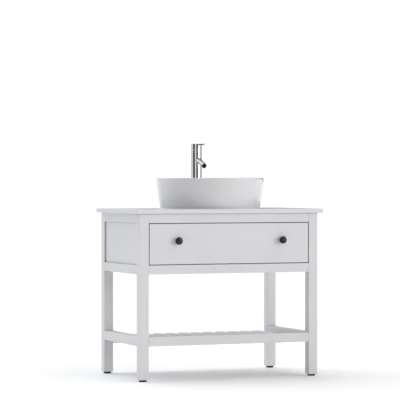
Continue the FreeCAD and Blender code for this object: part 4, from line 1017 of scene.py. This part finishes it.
class WASHSTAND_OT_trap(bpy.types.Operator):
    """Mould the elbow, pipe, bottle trap and slip nuts behind the drawer"""
    bl_idname = "washstand.trap"
    bl_label = "Waste pipe and trap"

    def execute(self, context):
        for node, name in (("waste_elbow", "drain_elbow"), ("waste_pipe", "drain_pipe"),
                           ("trap_body", "trap_bottle"), ("trap_outlet", "wall_pipe")):
            smoothed_copy(node, name, "pipe", "root")
        self.cup()
        self.nuts()
        return {"FINISHED"}

    def cup(self):
        """The screwed cup, with grip ribs and a rounded bottom."""
        low, high = (corner.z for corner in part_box("trap_cup"))
        radius, ribs, rib, wall, collar = half_width("trap_cup"), 16, 1 * MM, 2.5 * MM, 12 * MM
        shape = turned([(0, low, 0), (radius - 6 * MM, low, 4 * MM), (radius - rib, low + 9 * MM, 3 * MM),
                        (radius - rib, high - collar - rib, 0), (radius, high - collar, 0),
                        (radius, high, 0.5 * MM), (radius - wall, high, 0), (radius - wall, low + wall, 0),
                        (0, low + wall, 0)], steps=ribs * 8)
        gripped(shape, radius,
                lambda corner: corner.xy.length > radius - rib / 2 and corner.z > high - collar - rib / 2,
                lambda angle: rib if math.cos(ribs * angle) < 0 else 0)
        moved(shape, axis_at("trap_cup"))
        piece(shape, "trap_cup_ribbed", "pipe", "root", "trap_cup")

    def nuts(self):
        """One ribbed nut in the place of each plain one, its wide end over the socket."""
        pipe_radius, wall = 16 * MM, 3.5 * MM
        shapes = []
        for low, high in islands("slip_nuts"):
            size, centre = high - low, (low + high) / 2
            nut = ribbed_nut(size.x / 2, size.x / 2 - wall, pipe_radius, min(size.y, size.z), ribs=16)
            if size.z < size.y:
                moved(nut, Vector((centre.x, centre.y, low.z)))
            else:
                moved(nut, Vector((centre.x, low.y, centre.z)), Matrix.Rotation(-math.pi / 2, 4, "X"))
            shapes.append(nut)
        piece(joined(*shapes), "ribbed_slip_nuts", "pipe", "root", "slip_nuts")


# ---- stage -------------------------------------------------------------------------------

class WASHSTAND_OT_stage(bpy.types.Operator):
    """Lay the pale floor, hang the soft lights and set the camera"""
    bl_idname = "washstand.stage"
    bl_label = "Stage"

    # metres from the middle to each side
    FLOOR_REACH = 60

    # Azimuths here are in degrees from straight in front, positive to the right.
    # Each light has its azimuth, elevation, strength, softness in degrees and tint.
    LIGHTS = {
        # high at the front right, as a studio's main window
        "key light": (50, 35, 0.7, 95, (1.0, 1.0, 1.0)),
        "top light": (0, 85, 0.35, 60, (1.0, 1.0, 1.0)),
        # both low, to reach the legs behind and the base of the basin
        "right fill light": (42, 5, 1.05, 40, (1.0, 1.0, 1.0)),
        "left fill light": (-125, 5, 0.45, 40, (0.93, 0.96, 1.0)),
        # behind on the left, to lift the side that the key leaves dark
        "rear light": (-150, 50, 1.75, 80, (0.96, 0.98, 1.0)),
    }
    # The room's brightness by azimuth. Polished pieces mirror windows and a softbox with dark flags between.
    MIRRORED = ((-179, 1.0), (-168, 1.0), (-162, 0.1), (-100, 0.04), (-58, 0.08), (-53, 1.35), (-38, 1.35),
                (-31, 0.45), (-12, 0.35), (-6, 0.15), (12, 0.15), (20, 0.6), (40, 0.85), (48, 1.1), (64, 1.1),
                (70, 0.8), (84, 0.7), (92, 0.1), (155, 0.12), (170, 1.0))
    # What lights the paint and the glaze is even, but dimmer on the left of the camera.
    AMBIENT = ((-170, 0.46), (-110, 0.46), (-80, 0.12), (-20, 0.16), (15, 0.52), (150, 0.48))

    # A colour mix's own sockets share their names with the number mix's, so they go by place.
    MIX_SHARE, MIX_FIRST, MIX_SECOND, MIX_RESULT = 0, 6, 7, 2

    # The point of the floor that the camera circles, and how far the picture is let down.
    AIM = (-38.2 * MM, 15.6 * MM)
    PICTURE_SHIFT = -0.0485

    def execute(self, context):
        self.floor()
        self.surround()
        for name, setting in self.LIGHTS.items():
            self.sun(name, *setting)
        self.camera(context.scene)
        return {"FINISHED"}

    def floor(self):
        """A wide pale floor, faintly mottled."""
        shape = bmesh.new()
        bmesh.ops.create_grid(shape, x_segments=4, y_segments=4, size=self.FLOOR_REACH)
        mesh = bpy.data.meshes.new("studio_floor")
        shape.to_mesh(mesh)
        shape.free()
        # painted screed: chalky, without any gloss
        material, tree, shader = new_finish("pale studio floor", colours().floor, Roughness=0.9,
                                            Specular_IOR_Level=0.0)
        cloud = grain_noise(tree, pattern_space(tree), 400 * MM, detail=2.0)
        toned(tree, shader, cloud, colours().floor, 0.995, 1.0)
        mesh.materials.append(material)
        ground = bpy.data.objects.new("studio_floor", mesh)
        bpy.context.scene.collection.objects.link(ground)

    def surround(self):
        """A backdrop that is white to the camera, a dim room to the paint and a studio to polished pieces."""
        world = bpy.data.worlds.new("studio surround")
        world.use_nodes = True
        tree = world.node_tree
        direction = add_node(tree, "ShaderNodeTexCoord").outputs["Generated"]
        turn = add_node(tree, "ShaderNodeTexGradient", links={"Vector": direction}, gradient_type="RADIAL")
        rooms = []
        for levels in (self.AMBIENT, self.MIRRORED):
            ramp = add_node(tree, "ShaderNodeValToRGB", links={"Fac": turn.outputs["Fac"]})
            elements = ramp.color_ramp.elements
            for azimuth, level in levels:
                elements.new(((azimuth - 90) / 360 + 0.5) % 1.0).color = (level, level, level, 1)
            elements.remove(elements[0])
            elements.remove(elements[-1])
            rooms.append(ramp.outputs["Color"])
        white = add_node(tree, "ShaderNodeRGB").outputs["Color"]
        white.default_value = (1, 1, 1, 1)
        ray = add_node(tree, "ShaderNodeLightPath").outputs
        colour = rooms[0]
        for seen_by, other in (("Is Glossy Ray", rooms[1]), ("Is Camera Ray", white)):
            mix = add_node(tree, "ShaderNodeMix", data_type="RGBA")
            tree.links.new(ray[seen_by], mix.inputs[self.MIX_SHARE])
            tree.links.new(colour, mix.inputs[self.MIX_FIRST])
            tree.links.new(other, mix.inputs[self.MIX_SECOND])
            colour = mix.outputs[self.MIX_RESULT]
        tree.links.new(colour, tree.nodes["Background"].inputs["Color"])
        bpy.context.scene.world = world

    def sun(self, name, azimuth, elevation, power, softness, tint):
        """A far soft light."""
        data = bpy.data.lights.new(name, "SUN")
        data.energy, data.angle, data.color = power, math.radians(softness), tint
        lamp = bpy.data.objects.new(name, data)
        lamp.rotation_euler = (math.radians(90 - elevation), 0, math.radians(azimuth))
        bpy.context.scene.collection.objects.link(lamp)

    def camera(self, scene):
        """A level camera to the left of straight on, with a long lens."""
        size = sizes()
        data = bpy.data.cameras.new("camera")
        data.lens, data.shift_y = size.camera_focal, self.PICTURE_SHIFT
        camera = bpy.data.objects.new("camera", data)
        turn = size.camera_side
        camera.location = (self.AIM[0] - math.sin(turn) * size.camera_distance,
                           self.AIM[1] - math.cos(turn) * size.camera_distance, size.camera_height)
        camera.rotation_euler = (math.pi / 2, 0, -turn)
        scene.collection.objects.link(camera)
        scene.camera = camera
        scene.view_settings.view_transform = "Standard"


class WASHSTAND_PT_panel(bpy.types.Panel):
    """The washstand's steps, sizes and colours"""
    bl_idname = "WASHSTAND_PT_panel"
    bl_label = "Washstand"
    bl_space_type = "VIEW_3D"
    bl_region_type = "UI"
    bl_category = "Washstand"

    def draw(self, context):
        for operator in OPERATORS:
            self.layout.operator(operator.bl_idname)
        for group in (context.scene.washstand_sizes, context.scene.washstand_colours):
            box = self.layout.box()
            for name in group.__annotations__:
                box.prop(group, name)


OPERATORS = (
    WASHSTAND_OT_carcass,
    WASHSTAND_OT_fittings,
    WASHSTAND_OT_knobs,
    WASHSTAND_OT_feet,
    WASHSTAND_OT_basin,
    WASHSTAND_OT_tap_column,
    WASHSTAND_OT_tap_spout,
    WASHSTAND_OT_tap_handle,
    WASHSTAND_OT_waste,
    WASHSTAND_OT_trap,
    WASHSTAND_OT_stage,
)
CLASSES = (WashstandColours, WashstandSizes, *OPERATORS, WASHSTAND_PT_panel)


def register():
    """Add the classes and the scene's settings."""
    for kind in CLASSES:
        bpy.utils.register_class(kind)
    bpy.types.Scene.washstand_sizes = bpy.props.PointerProperty(type=WashstandSizes)
    bpy.types.Scene.washstand_colours = bpy.props.PointerProperty(type=WashstandColours)


def unregister():
    """Remove the scene's settings and the classes."""
    del bpy.types.Scene.washstand_colours
    del bpy.types.Scene.washstand_sizes
    for kind in reversed(CLASSES):
        bpy.utils.unregister_class(kind)


def main():
    """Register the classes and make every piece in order."""
    register()
    make_finishes()
    for operator in OPERATORS:
        group, name = operator.bl_idname.split(".")
        getattr(getattr(bpy.ops, group), name)()


if __name__ == "__main__":
    main()
